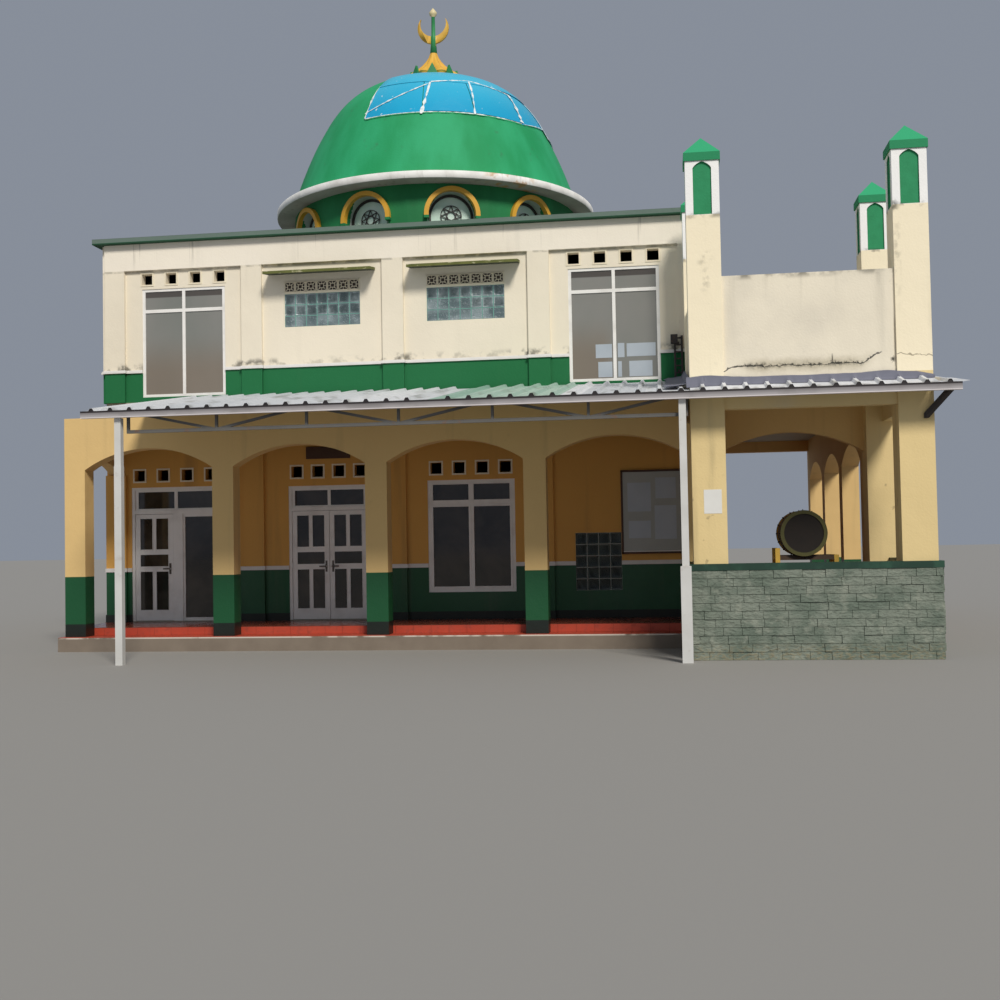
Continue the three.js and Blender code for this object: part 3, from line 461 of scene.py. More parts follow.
def cream_plaster():
    """The upper walls: green band, pale edge beam, fine drips, a painted shadow under the beam, and mildew
    on the moulding.
    """
    bands = [(4.3, BAND_TOP, BAND_GREEN)]
    coat = weathered_wall("cream_plaster_paint", CREAM, bands, dirt=0.28, streak_top=WALL_TOP)
    coat.cover(coat.z.between(BEAM_BOTTOM, 8) * 0.6, BEAM_CREAM)
    drips = coat.noise(13.0, detail=3, offset=3, stretch=(1, 1, 0.03)).rise(0.60, 0.74)
    coat.cover(drips * coat.z.rise(6.75, WALL_TOP) * 0.5, DIRT)
    edge = coat.noise(5.0, detail=5, offset=7)
    # Painted shadow: a ragged dark line along the underside of the beam.
    shadow_under_beam = coat.z.between(6.795, 6.832, 0.012) * edge.rise(0.40, 0.56)
    coat.cover(shadow_under_beam * 0.38, DARK_DIRT_AND_SHADE)
    to_pilaster = BAY / 2 - abs(abs(abs(coat.x) - BAY) - BAY / 2)
    close = 1 - to_pilaster.rise(0.2, 0.7) * 0.6
    mildew = edge.rise(0.46, 0.62) * coat.z.between(BAND_TOP - 0.01, 5.10, 0.06) * close
    coat.cover(mildew * 0.75, DARK_DIRT_AND_SHADE)
    return coat.done()


def dado_plaster(name, wall, dado_top, base_top, dirt, seed):
    """Plaster over a shiny green dado with a black foot."""
    bands = [(0, dado_top, DADO_GREEN), (0, base_top, BLACK_BASE)]
    coat = weathered_wall(name, wall, bands, dirt=dirt, seed=seed)
    return coat.done(roughness=0.78 - 0.3 * (coat.z < dado_top))


# Stains of the porch's front piers: x, z, half width, half height, strength
PIER_STAINS = (
    (5.42, 5.75, 0.07, 0.05, 0.32), (5.34, 5.66, 0.05, 0.03, 0.28), (5.38, 5.41, 0.05, 0.14, 0.3),
    (7.99, 6.33, 0.06, 0.06, 0.9), (8.03, 5.60, 0.04, 0.45, 0.3),
)


def pinnacle_paint():
    """Yellow shaft, white body with sunk green panels, green cap band and a lighter pyramid."""
    bands = [(4.0, PIER_WHITE, PALE_YELLOW), (PIER_WHITE, PIER_CAP, WHITE)]
    coat = weathered_wall("pinnacle_paint", YELLOW, bands, dirt=0.3, seed=11)
    across = abs(abs(coat.x - 6.8) - 1.43)
    along = abs(abs(coat.y + 6.4065) - 1.3735)
    inner = (across < 0.231) * (along < 0.231) * coat.z.between(PIER_WHITE - 0.005, PIER_CAP - 0.008)
    mottle = coat.noise(6.0, detail=5, offset=1)
    coat.cover(inner, coat.mix(mottle, (24, 126, 78), (44, 154, 102)))
    coat.cover(coat.z > PIER_CAP + 0.0005, coat.mix(coat.z > CAP_SLOPE, (28, 138, 90), (42, 164, 112)))
    coat.cover(coat.z.between(6.30, 6.37, 0.03) * mottle.rise(0.45, 0.62) * 0.55, DARK_DIRT_AND_SHADE)
    marks = coat.noise(5.2, detail=8, offset=19).rise(0.66, 0.72) * (coat.z < 3.4)
    coat.cover(marks * 0.5, (120, 104, 80))
    stains = sum(coat.blot(*place) * strength for *place, strength in PIER_STAINS)
    blotches = coat.noise(11.0, detail=6, offset=23).rise(0.42, 0.60)
    in_front = coat.y < -8.0
    coat.cover(stains * blotches * in_front, DARK_DIRT_AND_SHADE)
    jag = coat.noise(12.0, detail=6, offset=5)
    away = abs(coat.z - 4.20 + 0.087 * (coat.x - 8) - 0.1 * jag)
    crack = (1 - away.rise(0.003, 0.009)) * (coat.x > 7.985) * in_front
    coat.cover(crack * 0.7, CRACK_BROWN)
    return coat.done()


def parapet_plaster():
    """Weathered cream above the canopy, with a long crack close to its foot."""
    coat = weathered_wall("parapet_plaster_paint", (240, 231, 210), dirt=0.45, streak_top=5.456, seed=21)
    coat.cover(1 - coat.z.rise(3.9, 3.95), YELLOW)
    wander = coat.noise(2.6, detail=7, offset=13)
    jag = coat.noise(7.0, detail=6, offset=3)
    coat.cover(coat.noise(1.2, detail=5, offset=17).rise(0.45, 0.72) * 0.35, (208, 201, 186))
    climb = coat.x.rise(5.58, 5.78) * 0.06 + coat.x.rise(7.5, 7.8) * 0.14
    splinter = coat.noise(26.0, detail=5, offset=9)
    path = 4.088 + climb + (jag - 0.5) * 0.09 + (wander - 0.5) * 0.05 + (splinter - 0.5) * 0.05
    away = abs(coat.z - path)
    along = coat.x.between(5.6, 7.79, 0.02)
    heavy = coat.x.between(5.95, 7.55, 0.25)
    coat.cover((1 - away.rise(0.0, 0.15)) * heavy * 0.5, (134, 122, 88))
    coat.cover((1 - away.rise(0.005, 0.055)) * heavy * splinter.rise(0.42, 0.60) * 0.75, DARK_DIRT_AND_SHADE)
    crack = (1 - (away - 0.02 * (splinter - 0.4)).rise(0.003, 0.011)) * along
    coat.cover(crack * 0.92, DARK_DIRT_AND_SHADE)
    branch = coat.blot(7.12, 4.22, 0.008, 0.05) + coat.blot(7.945, 4.18, 0.025, 0.035)
    coat.cover(branch * splinter.rise(0.36, 0.5), DARK_DIRT_AND_SHADE)
    seam = coat.x.between(7.965, 7.985, 0.008) * coat.z.between(4.1, 4.75, 0.1)
    coat.cover(seam * 0.5, CRACK_BROWN)
    coat.cover(coat.z.rise(5.36, 5.456) * wander.rise(0.45, 0.6) * 0.65, DARK_DIRT_AND_SHADE)
    return coat.done()


def bare_concrete():
    coat = Finish("bare_concrete", (142, 138, 126), roughness=0.9)
    coat.cover(coat.noise(1.6, detail=8), (172, 166, 152))
    return coat.done(coat.noise(22.0, detail=5), 0.006)


def awning_paint():
    """Moss on top and along the front edge, with pale worn patches; dark below."""
    coat = Finish("awning_paint", (70, 78, 38), roughness=0.95)
    patches = coat.noise(5.0, detail=7, offset=2)
    coat.cover(patches, (122, 124, 66))
    worn = coat.noise(9.0, detail=5, offset=8, stretch=(1, 1, 3)).rise(0.58, 0.68)
    coat.cover(worn * 0.7, (190, 184, 150))
    level = coat.z - 0.158 * (coat.y + 4.72)
    coat.cover(level.between(6.0, 6.5785), (66, 70, 52))
    return coat.done(patches, 0.008)


def floor_edge_paint():
    """Dark joints between the tiles, and a rough cement face with a pale upper edge in front."""
    coat = Finish("floor_edge_paint", (112, 100, 88), roughness=0.85)
    cloud = coat.noise(3.0, detail=7, offset=4)
    coat.cover(cloud, (140, 128, 114))
    coat.cover(coat.z.between(0.214, 0.24) * cloud.rise(0.36, 0.5), (206, 196, 184))
    inside = (coat.y > -6.1955) * (coat.x > -5.4315)
    coat.cover(inside, coat.mix(cloud, (96, 40, 30), (120, 54, 40)))
    return coat.done(cloud, 0.006)


def roof_paint():
    """Grey-green edge, a greyer top and a dark green line below."""
    coat = Finish("roof_paint", (84, 104, 96), roughness=0.85)
    cloud = coat.noise(1.1, detail=7)
    coat.cover(cloud, (112, 130, 120))
    coat.cover(coat.z > 7.415, coat.mix(cloud, (70, 84, 78), (104, 116, 104)))
    coat.cover(coat.z.between(7.3, 7.342), (20, 70, 45))
    return coat.done(coat.noise(20.0), 0.005)


def green_paint(name, base, pale, seed=0.0):
    """Green paint with upright fading and fine brush marks."""
    coat = Finish(name, base, roughness=0.75)
    coat.cover(coat.noise(1.3, detail=6, offset=seed, stretch=(1, 1, 0.25)).rise(0.35, 0.7), pale)
    coat.cover(coat.noise(5.0, detail=7, offset=seed + 3).rise(0.62, 0.75) * 0.3, (60, 92, 66))
    return coat.done(coat.noise(28.0, offset=seed), 0.003)


def rim_paint():
    """White paint in grey clouds and runs, grey over its underside, and stained brown in places."""
    coat = Finish("rim_paint", (246, 245, 242))
    coat.cover(coat.noise(2.2, detail=7, offset=2).rise(0.4, 0.7) * 0.6, (196, 193, 186))
    # Grey over the underside and the lowest few millimetres of the edge.
    coat.cover((1 - coat.z.rise(RIM_BOTTOM + 0.001, RIM_BOTTOM + 0.006)) * 0.6, (134, 130, 124))
    runs = coat.noise(7.0, detail=5, offset=6, stretch=(1, 1, 0.2))
    coat.cover(runs.rise(0.58, 0.72) * 0.5, (120, 116, 104))
    stained = coat.x.between(1.55, 2.35, 0.12) * (coat.y < 0)
    coat.cover(coat.noise(4.0, offset=31).rise(0.44, 0.56) * stained * 0.75, (200, 152, 92))
    return coat.done(coat.noise(18.0), 0.004)


def blue_sheet_paint():
    """Blue plastic, paler towards the crown, with white specks."""
    coat = Finish("blue_sheet_paint", (0, 158, 204), roughness=0.38)
    coat.cover(coat.z.rise(10.1, 11.2), (66, 186, 220))
    coat.cover(coat.noise(1.0, detail=5, offset=4).rise(0.4, 0.75) * 0.5, (14, 172, 214))
    coat.cover(coat.noise(11.0, detail=6, offset=9).rise(0.68, 0.74) * 0.7, WHITE)
    return coat.done(coat.noise(4.0), 0.01)


def worn_paint(name, color, worn, roughness, scale, offset, low, high, strength):
    """Smooth paint or tape that has worn to another tone in patches."""
    coat = Finish(name, color, roughness)
    coat.cover(coat.noise(scale, detail=6, offset=offset).rise(low, high) * strength, worn)
    return coat.done()


def rack_paint():
    """Yellow posts joined by rails of bare dark wood."""
    coat = Finish("rack_paint", (196, 156, 52), roughness=0.6)
    wear = coat.noise(5.0, detail=6)
    coat.cover(wear, (222, 184, 84))
    coat.cover(coat.x.between(6.455, 7.255, 0.001), coat.mix(wear, (52, 38, 26), (84, 62, 42)))
    return coat.done(wear, 0.004)


def mast_paint():
    """Green mast with a yellow crescent and a pale bud."""
    coat = Finish("mast_paint", (34, 128, 70), roughness=0.5)
    wear = coat.noise(6.0, detail=5)
    coat.cover(wear, (64, 160, 96))
    off_mast = (abs(coat.x) > 0.052) * coat.z.between(12.45, 13.08)
    coat.cover(off_mast, coat.mix(wear, (204, 152, 48), (236, 192, 84)))
    coat.cover(coat.z > 13.095, (222, 206, 160))
    return coat.done()


def steel_paint(name, base, worn, rust=0.4, seed=0.0):
    """Paint on steel, with rust spots."""
    coat = Finish(name, base, roughness=0.55)
    coat.cover(coat.noise(2.4, detail=6, offset=seed), worn)
    spots = coat.noise(8.0, detail=7, offset=seed + 5)
    coat.cover(spots.rise(0.60, 0.74) * rust, RUST)
    return coat.done(spots, 0.002)


def fascia_paint():
    """Grey paint with painted shade darkening the face towards its top, a painted shadow under the edge of
    the sheets, and a painted highlight on the lower lip.
    """
    coat = Finish("fascia_paint", (176, 172, 174), roughness=0.5)
    # Painted shade, growing darker towards the top of the face under the sheets.
    coat.cover(coat.z.rise(3.68, 3.75), (128, 124, 126))
    coat.cover(coat.noise(2.4, detail=6, offset=7).rise(0.45, 0.7) * 0.4, (112, 108, 106))
    # Painted highlight along the lower lip.
    coat.cover(coat.z < 3.681, (216, 210, 212))
    # Painted shadow under the edge of the sheets.
    coat.cover(coat.z > 3.748, (40, 34, 36))
    return coat.done()


def sheet_paint(name, base, pale):
    """Folded sheet: each width has its own tone, with dirt that runs down the slope."""
    coat = Finish(name, base, roughness=0.5, metallic=0.1)
    widths = coat.node("ShaderNodeMath", {"operation": "FLOOR"}, {0: coat.x * 1.111})
    coat.cover(coat.node("ShaderNodeTexWhiteNoise", {"noise_dimensions": "1D"}, {"W": widths}), pale)
    runs = coat.noise(6.0, detail=6, offset=8, stretch=(1, 0.1, 1))
    coat.cover(runs.rise(0.5, 0.72) * 0.5, (112, 112, 104))
    coat.cover((1 - coat.y.rise(-8.44, -8.2)) * runs.rise(0.4, 0.6) * 0.4, DIRT)
    return coat.done(runs, 0.004)


def glass_pane(name, dark, light, roughness=0.06):
    coat = Finish(name, dark, roughness)
    coat.cover(coat.noise(1.4, detail=3, offset=6, distortion=0.6).rise(0.35, 0.7), light)
    return coat.done()


def tall_glass_paint():
    """Panes painted with the reflection of a grey sky above and of warm walls below."""
    coat = Finish("tall_glass_paint", (112, 118, 112), roughness=0.07)
    # The grey tones are a painted reflection of the sky.
    coat.cover(coat.noise(0.9, detail=3, offset=8, stretch=(1, 1, 0.5)), (146, 142, 138))
    # Painted reflection of the warm walls, low on the left.
    wall_reflection = (1 - coat.z.rise(4.9, 5.7)) * (1 - coat.x.rise(3.7, 4.0))
    coat.cover(wall_reflection * 0.55, (122, 104, 84))
    coat.cover(coat.z.between(6.33, 6.5, 0.01) * 0.8, (64, 56, 52))
    return coat.done()


def glass_block_paint():
    """Glass in clouds of two tones, with painted highlights on its ripples."""
    coat = Finish("glass_block_paint", (100, 116, 120), roughness=0.12)
    swirl = coat.noise(16.0, detail=3, distortion=1.5)
    coat.cover(coat.noise(3.5, detail=1, offset=5).rise(0.35, 0.65), (146, 160, 164))
    # Painted highlights where the ripples rise.
    coat.cover(swirl.rise(0.55, 0.72) * 0.45, (190, 204, 208))
    return coat.done(swirl, 0.012)


def stone_paint():
    """Split grey-green stone with dark veins, pale chips and a brown foot."""
    coat = Finish("stone_paint", (104, 116, 104), roughness=0.92)
    vein = coat.noise(14.0, detail=8, offset=1, stretch=(1, 1, 2.2))
    coat.cover(coat.noise(2.8, detail=2, offset=3).rise(0.35, 0.65), (128, 136, 124))
    coat.cover(vein.rise(0.52, 0.68) * 0.4, (74, 84, 74))
    coat.cover(coat.noise(7.0, detail=7, offset=12).rise(0.56, 0.66) * 0.35, (158, 162, 148))
    coat.cover((1 - coat.z.rise(0.05, 0.3)) * vein.rise(0.44, 0.6) * 0.45, (150, 136, 104))
    place = coat.node("ShaderNodeMapping", {}, {0: coat.position, 3: (1, 1, 1.6)})
    facets = coat.node("ShaderNodeTexVoronoi", {}, {"Vector": place, "Scale": 9.0}, "Color")
    coat.emboss(vein, 0.02)
    coat.emboss(coat.noise(6.0, detail=5, offset=2), 0.03)
    return coat.done(facets, 0.012)


def base_wall_paint():
    """Dark joints behind the stones and a green coping on top."""
    coat = Finish("base_wall_paint", (96, 106, 94))
    coping = coat.z > STONE_TOP - 0.0005
    wear = coat.noise(4.0, detail=6).rise(0.45, 0.7)
    coat.cover(coping, coat.mix(wear, (16, 54, 40), (34, 76, 58)))
    return coat.done(roughness=0.85 - 0.3 * coping)


def tile_paint(name, low, high, worn, roughness):
    """Baked tiles, worn rougher in patches."""
    coat = Finish(name, low)
    cloud = coat.noise(12.0, detail=6, offset=7)
    coat.cover(coat.noise(3.3, detail=1, offset=2), high)
    coat.cover(cloud.rise(0.5, 0.72) * 0.5, worn)
    return coat.done(roughness=roughness + 0.25 * cloud.rise(0.45, 0.7))


def plain(name, low, high, scale=6.0, roughness=0.6, depth=0.002, stretch=(1, 1, 1), detail=6):
    """Two close tones in fine clouds."""
    coat = Finish(name, low, roughness)
    cloud = coat.noise(scale, detail=detail, stretch=stretch)
    coat.cover(cloud, high)
    return coat.done(cloud, depth)


CREAM_PLASTER = cream_plaster()
OCHRE_PLASTER = dado_plaster("ochre_plaster_paint", OCHRE, DADO_TOP, SKIRTING_TOP, dirt=0.25, seed=2)
PILLAR_PLASTER = dado_plaster("pillar_plaster_paint", (226, 192, 130), 1.256, 0.455, dirt=0.22, seed=5)
PINNACLE = pinnacle_paint()
PARAPET = parapet_plaster()
CONCRETE = bare_concrete()
AWNING = awning_paint()
ROOF = roof_paint()
SHELL_GREEN = green_paint("shell_green", (8, 144, 84), (36, 164, 108))
DRUM_GREEN = green_paint("drum_green", (14, 112, 60), (32, 134, 78), seed=4)
RIM_WHITE = rim_paint()
BLUE_SHEET = blue_sheet_paint()
TAPE = worn_paint(
    "sealing_tape", (232, 238, 238), (150, 190, 198), roughness=0.6,
    scale=14.0, offset=2, low=0.5, high=0.66, strength=1.0,
)
FRAME_WHITE = worn_paint(
    "frame_paint", (238, 236, 232), (196, 190, 184), roughness=0.42,
    scale=3.0, offset=3, low=0.45, high=0.75, strength=0.4,
)
MAST = mast_paint()
RACK = rack_paint()
GREY_STEEL = steel_paint("grey_steel_paint", (84, 84, 82), (108, 106, 102))
POST_WHITE = steel_paint("post_white_paint", (222, 222, 220), (190, 190, 186), rust=0.15, seed=2)
DARK_STEEL = steel_paint("dark_steel_paint", (38, 34, 34), (58, 50, 48), rust=0.3, seed=1)
FASCIA_STEEL = fascia_paint()
GREY_SHEET = sheet_paint("grey_sheet_paint", (204, 208, 214), (230, 232, 236))
GREEN_SHEET = sheet_paint("green_sheet_paint", (142, 178, 164), (172, 198, 186))
DARK_GLASS = glass_pane("dark_glass", (34, 30, 28), (64, 58, 52))
DRUM_GLASS = glass_pane("drum_glass", (196, 226, 212), (220, 240, 228), roughness=0.3)
HALL_GLASS = glass_pane("hall_glass", (58, 66, 66), (92, 100, 100))
DARK_BLOCK = glass_pane("dark_glass_block", (38, 50, 46), (58, 72, 66), roughness=0.15)
TALL_GLASS = tall_glass_paint()
GLASS_BLOCK = glass_block_paint()
STONE = stone_paint()
BASE_WALL = base_wall_paint()
TILE = tile_paint("floor_tile", (112, 50, 36), (134, 66, 48), (84, 48, 38), roughness=0.16)
STEP_TILE = tile_paint("step_tile", (172, 62, 42), (190, 80, 56), (140, 60, 46), roughness=0.4)
FLOOR_EDGE = floor_edge_paint()
FINIAL = plain(
    "finial_paint", (206, 150, 44), (238, 190, 76),
    scale=5.0, roughness=0.5, depth=0.006, detail=5,
)
FINIAL_GREEN = plain("finial_green", (18, 112, 58), (40, 140, 80))
MEMBRANE = plain("roof_membrane", (98, 100, 114), (122, 124, 138), scale=3.0, roughness=0.8)
TEAL_JOINT = plain("teal_joint", (84, 142, 130), (120, 170, 158), scale=8.0)
BLOCK_JOINT = plain("block_joint", (132, 138, 132), (160, 164, 158), scale=8.0)
WHITE_TRIM = plain("white_trim", (214, 210, 206), (236, 234, 230), scale=5.0)
CREAM_TRIM = plain("cream_trim", (226, 214, 186), (240, 230, 206), scale=5.0)
YELLOW_TRIM = plain("yellow_trim", (206, 150, 34), (228, 176, 60), scale=5.0, roughness=0.5)
SKIRTING_BLACK = plain("skirting_black", (16, 24, 20), (34, 40, 34))
# Painted shade for the holes of the pierced blocks.
HOLE_SHADE = plain("hole_shade_paint", (52, 40, 32), (78, 62, 50))
SHADOW = plain("shadowed_hollow", (26, 22, 24), (40, 34, 36))
REVEAL_GREY = plain("reveal_grey", (170, 176, 172), (198, 202, 198), scale=4.0)
BOARD_GREY = plain("board_grey", (150, 154, 148), (178, 180, 174), scale=1.6, roughness=0.25)
BOARD_WOOD = plain("board_wood", (62, 40, 28), (86, 58, 40), scale=7.0, stretch=(1, 1, 6))
PALE_BOARD = plain("pale_board", (164, 174, 184), (184, 192, 200), scale=3.0, roughness=0.2)
PAPER = plain("bare_paper", (214, 214, 210), (236, 236, 232), scale=3.0)
DRUM_WOOD = plain("drum_wood", (48, 32, 22), (82, 56, 36), scale=9.0, stretch=(5, 1, 5), depth=0.006)
DRUM_SKIN = plain("drum_skin", (20, 15, 13), (36, 28, 22), scale=5.0, roughness=0.8)
DRUM_OLIVE = plain("drum_olive", (62, 62, 26), (92, 88, 38), scale=7.0)
HANDLE = plain("handle_bronze", (66, 60, 54), (92, 84, 74), roughness=0.3)


def coat_frame():
    """Gives the solids of the frame their finishes."""
    for finish, nodes in (
        (CREAM_PLASTER, "upper_front_wall upper_left_wall upper_right_wall upper_back_wall"),
        (OCHRE_PLASTER, "front_wall_left_end front_wall_between_doors front_wall_right"),
        (OCHRE_PLASTER, "side_door_lintel main_door_lintel"),
        (OCHRE_PLASTER, "left_wall_lower right_wall_lower back_wall_lower"),
        (PILLAR_PLASTER, "arcade veranda_end_arch porch_middle_pier gallery_arcade porch_rear_arch"),
        (PINNACLE, "porch_pier_front_left porch_pier_front_right"),
        (PINNACLE, "porch_pier_rear_left porch_pier_rear_right"),
        (PARAPET, "porch_upper_wall"),
        (BASE_WALL, "porch_base_wall"),
        (CONCRETE, "hall_floor upper_floor veranda_ceiling gallery_roof"),
        (AWNING, "awning_left awning_right"),
        (ROOF, "roof_slab"),
        (FLOOR_EDGE, "veranda_floor gallery_floor"),
        (GREY_STEEL, "canopy_frame"),
        (DARK_STEEL, "canopy_strut"),
        (FASCIA_STEEL, "canopy_fascia"),
        (POST_WHITE, "canopy_post_left canopy_post_right"),
        (FRAME_WHITE, "main_door_frame main_door_left main_door_right side_door_frame side_door_leaf"),
        (FRAME_WHITE, "front_window tall_window_left tall_window_right"),
        (TEAL_JOINT, "glass_block_window_left glass_block_window_right"),
        (BLOCK_JOINT, "glass_block_panel"),
        (HALL_GLASS, "lower_glass upper_glass"),
        (BOARD_GREY, "notice_board"),
        (RACK, "drum_stand"),
    ):
        for node in nodes.split():
            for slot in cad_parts[node].material_slots:
                slot.material = finish


# Dome

OVAL_RADIUS, OVAL_CENTRE, OVAL_RISE, OVAL_FULLNESS = 3.239, 5.126, 6.332, 0.545
FLARE_TOP, FLARE_REACH = 10.4, 0.14


def dome_radius(z, inset=0):
    """Radius of the tall oval at a height, with the flare at its foot."""
    rise = min(1.0, (z - OVAL_CENTRE) / (OVAL_RISE - inset))
    flare = FLARE_REACH * max(0, (FLARE_TOP - z) / (FLARE_TOP - RIM_TOP)) ** 1.3
    return (OVAL_RADIUS - inset) * math.cos(math.asin(rise)) ** OVAL_FULLNESS + flare


def dome_profile(inset, steps):
    rise = OVAL_RISE - inset
    start = math.asin((RIM_TOP - OVAL_CENTRE) / rise)
    angles = [start + (math.pi / 2 - start) * i / steps for i in range(steps)]
    heights = [OVAL_CENTRE + rise * math.sin(angle) for angle in angles]
    return [(dome_radius(z, inset), z) for z in heights] + [(0, OVAL_CENTRE + rise)]


def dome():
    """The shell, the rim, the drum with its glazing, and the mast, all shaded smooth."""
    shell, rim = bmesh.new(), bmesh.new()
    turned(shell, dome_profile(0, 56) + dome_profile(0.12, 20)[::-1])
    piece("dome_shell_smooth", shell, SHELL_GREEN, replaces=["dome_shell"], smooth=40)
    inner, outer, lip = 2.74, 3.37, 0.012
    turned(rim, [
        (inner, RIM_BOTTOM), (outer - lip, RIM_BOTTOM), (outer, RIM_BOTTOM + lip),
        (outer, RIM_TOP - lip), (outer - lip, RIM_TOP), (inner, RIM_TOP),
    ])
    piece("dome_rim_smooth", rim, RIM_WHITE, replaces=["dome_rim"], smooth=50)
    smooth_copy("dome_drum", DRUM_GREEN)
    smooth_copy("drum_glazing", DRUM_GLASS)
    smooth_copy("finial_mast", MAST)


# Radius and height of the petals' outer line, from the top down
PETAL_ROWS = (
    (0.078, 12.288), (0.12, 12.18), (0.19, 12.08), (0.28, 11.98), (0.39, 11.89), (0.49, 11.82),
    (0.56, 11.77), (0.59, 11.73), (0.56, 11.70), (0.57, 11.60), (0.60, 11.44),
)
PETALS = 8
PETAL_TURN = math.radians(-16)


def turn_about_axis(shape, verts, angle):
    bmesh.ops.rotate(shape, cent=(0, 0, 0), matrix=Matrix.Rotation(angle, 3, "Z"), verts=verts)


def finial_foot():
    """Golden petals that curl outwards, with green points standing between them."""
    petals, points = bmesh.new(), bmesh.new()
    turned(petals, PETAL_ROWS, steps=96, closed=False)
    for vert in petals.verts:
        share = (0.5 + 0.5 * math.cos(PETALS * math.atan2(vert.co.y, vert.co.x))) ** 0.6
        fold = 1 - 0.3 * min(1, (PETAL_ROWS[0][1] - vert.co.z) / 0.4) * (1 - share)
        vert.co = (vert.co.x * fold, vert.co.y * fold, vert.co.z)
    turn_about_axis(petals, petals.verts[:], PETAL_TURN)
    thickened(petals, 0.02)
    piece("finial_petals", petals, FINIAL, smooth=50)
    for i in range(PETALS):
        line = outline(points, [(0.58, 0.24, 11.42), (0.58, -0.24, 11.42), (0.51, 0, 11.91)])
        face = points.faces.new(only(VERT, line))
        inner = only(VERT, bmesh.ops.extrude_face_region(points, geom=[face])["geom"])
        bmesh.ops.translate(points, verts=inner, vec=(-0.05, 0, 0))
        turn_about_axis(points, only(VERT, line) + inner, 2 * math.pi * (i + 0.5) / PETALS + PETAL_TURN)
    turned(points, [(0, 11.44), (0.40, 11.44), (0.40, 11.70), (0.25, 11.80), (0, 11.80)], 32, closed=False)
    piece("finial_points", points, FINIAL_GREEN, replaces=["finial_skirt"])


def wrap_on_dome(verts, lift):
    """Bends a sheet that lies in X as angle and Z as height over the shell."""
    for vert in verts:
        angle, height = vert.co.x, vert.co.z
        slope = (dome_radius(height + 0.004) - dome_radius(height - 0.004)) / 0.008
        out = Vector((1, 0, -slope)).normalized() * (lift + vert.co.y)
        flat = dome_radius(height) + out.x
        vert.co = (flat * math.sin(angle), -flat * math.cos(angle), height + out.z)


COVER_BOTTOM, COVER_TOP = 10.12, 10.93
CAP_BOTTOM, CAP_TOP = 11.36, 11.45
COVER_SEAMS = (-22.8, 5, 29, 55, 80, 105, 130, 155, 180, 205)


def dome_sheets():
    """Blue sheets laid over the crown, with a gap left on one side, and taped seams."""
    dice = random.Random(5)
    sheets, tape = bmesh.new(), bmesh.new()
    for left, right in zip(COVER_SEAMS, COVER_SEAMS[1:]):
        start, end = math.radians(left), math.radians(right)
        lift = dice.uniform(0.010, 0.024)
        drop = dice.uniform(-0.03, 0.02)
        grid = grid_in(sheets, 12, 10)
        for vert in grid:
            across, up = vert.co.xy
            foot = COVER_BOTTOM + drop + 0.2 * across * (left == 55)
            vert.co = (start + (end - start) * (0.008 + 0.984 * across), 0, foot + (COVER_TOP - foot) * up)
        wrap_on_dome(grid, lift)
    cap = grid_in(sheets, 64, 8)
    for vert in cap:
        angle = 2 * math.pi * vert.co.x
        bare = math.radians(COVER_SEAMS[-1]) < angle < math.radians(360 + COVER_SEAMS[0])
        foot = CAP_BOTTOM if bare else COVER_TOP - 0.03
        vert.co = (angle, 0, foot + (CAP_TOP - foot) * vert.co.y)
    wrap_on_dome(cap, 0.030)
    bmesh.ops.remove_doubles(sheets, verts=cap, dist=1e-4)
    thickened(sheets, 0.006)
    piece("crown_sheets", sheets, BLUE_SHEET, smooth=40)

    strips = [
        (-22.6, COVER_BOTTOM, -22.6, COVER_TOP, 0.03), (-23.5, 10.24, 8.8, 10.86, 0.032),
        (4.6, 10.07, 8.4, 10.88, 0.05), (28.8, 10.1, 31.2, 10.95, 0.04), (55.2, 10.15, 57.5, 10.85, 0.08),
        (8.8, 10.89, 31.0, 10.98, 0.025), (31.0, 10.98, 57.0, 10.84, 0.025),
    ]
    strips += [(a, 10.1, a + 2, COVER_TOP, 0.06) for a in (80, 105, 130, 155, 180, 204)]
    for a, b in zip(COVER_SEAMS, COVER_SEAMS[1:]):
        strips.append((a + 0.5, 10.105, b - 0.5, 10.305 if a == 55 else 10.105, 0.016))
    for strip in strips:
        strip_on_dome(tape, *strip, dice)
    piece("seam_tape", tape, TAPE, smooth=40)


def strip_on_dome(shape, angle0, z0, angle1, z1, width, dice):
    """A strip of tape between two places on the shell, given in degrees and height."""
    middle = dome_radius((z0 + z1) / 2)
    start = Vector((math.radians(angle0) * middle, z0))
    along = Vector((math.radians(angle1) * middle, z1)) - start
    across = Vector((-along.y, along.x)).normalized()
    steps = max(4, round(along.length / 0.07))
    spread = [dice.choice((0.15, 0.5, 0.8, 1.0, 1.4)) for _ in range(steps + 1)]
    grid = grid_in(shape, steps, 1)
    for vert in grid:
        step = round(vert.co.x * steps)
        flat = start + along * (step / steps) + across * width * (vert.co.y - 0.5) * spread[step]
        vert.co = (flat.x / middle, 0, flat.y)
    wrap_on_dome(grid, 0.032)
    thickened(shape, 0.006, list({face for vert in grid for face in vert.link_faces}))


def arch_band(shape, inner, outer, front, rear, foot):
    """An arched band: two legs from the foot to the spring line and a half ring above them."""
    corners = [(inner, front, foot), (outer, front, foot), (outer, rear, foot), (inner, rear, foot)]
    raised = drawn_out(shape, outline(shape, corners), (0, 0, DRUM_SPRING - foot))
    spun = bmesh.ops.spin(
        shape, geom=only((VERT, EDGE), raised), axis=(0, -1, 0), cent=(0, 0, DRUM_SPRING), steps=24,
        angle=math.pi, use_merge=False, use_normal_flip=False, use_duplicate=False,
    )["geom_last"]
    drawn_out(shape, spun, (0, 0, foot - DRUM_SPRING))
    bmesh.ops.holes_fill(shape, edges=[edge for edge in shape.edges if edge.is_boundary], sides=4)


def arch_feet(shape):
    for x in (-0.487, 0.487):
        box_in(shape, (x - 0.046, -0.088, DRUM_SPRING - 0.075), (x + 0.046, 0.01, DRUM_SPRING - 0.025))


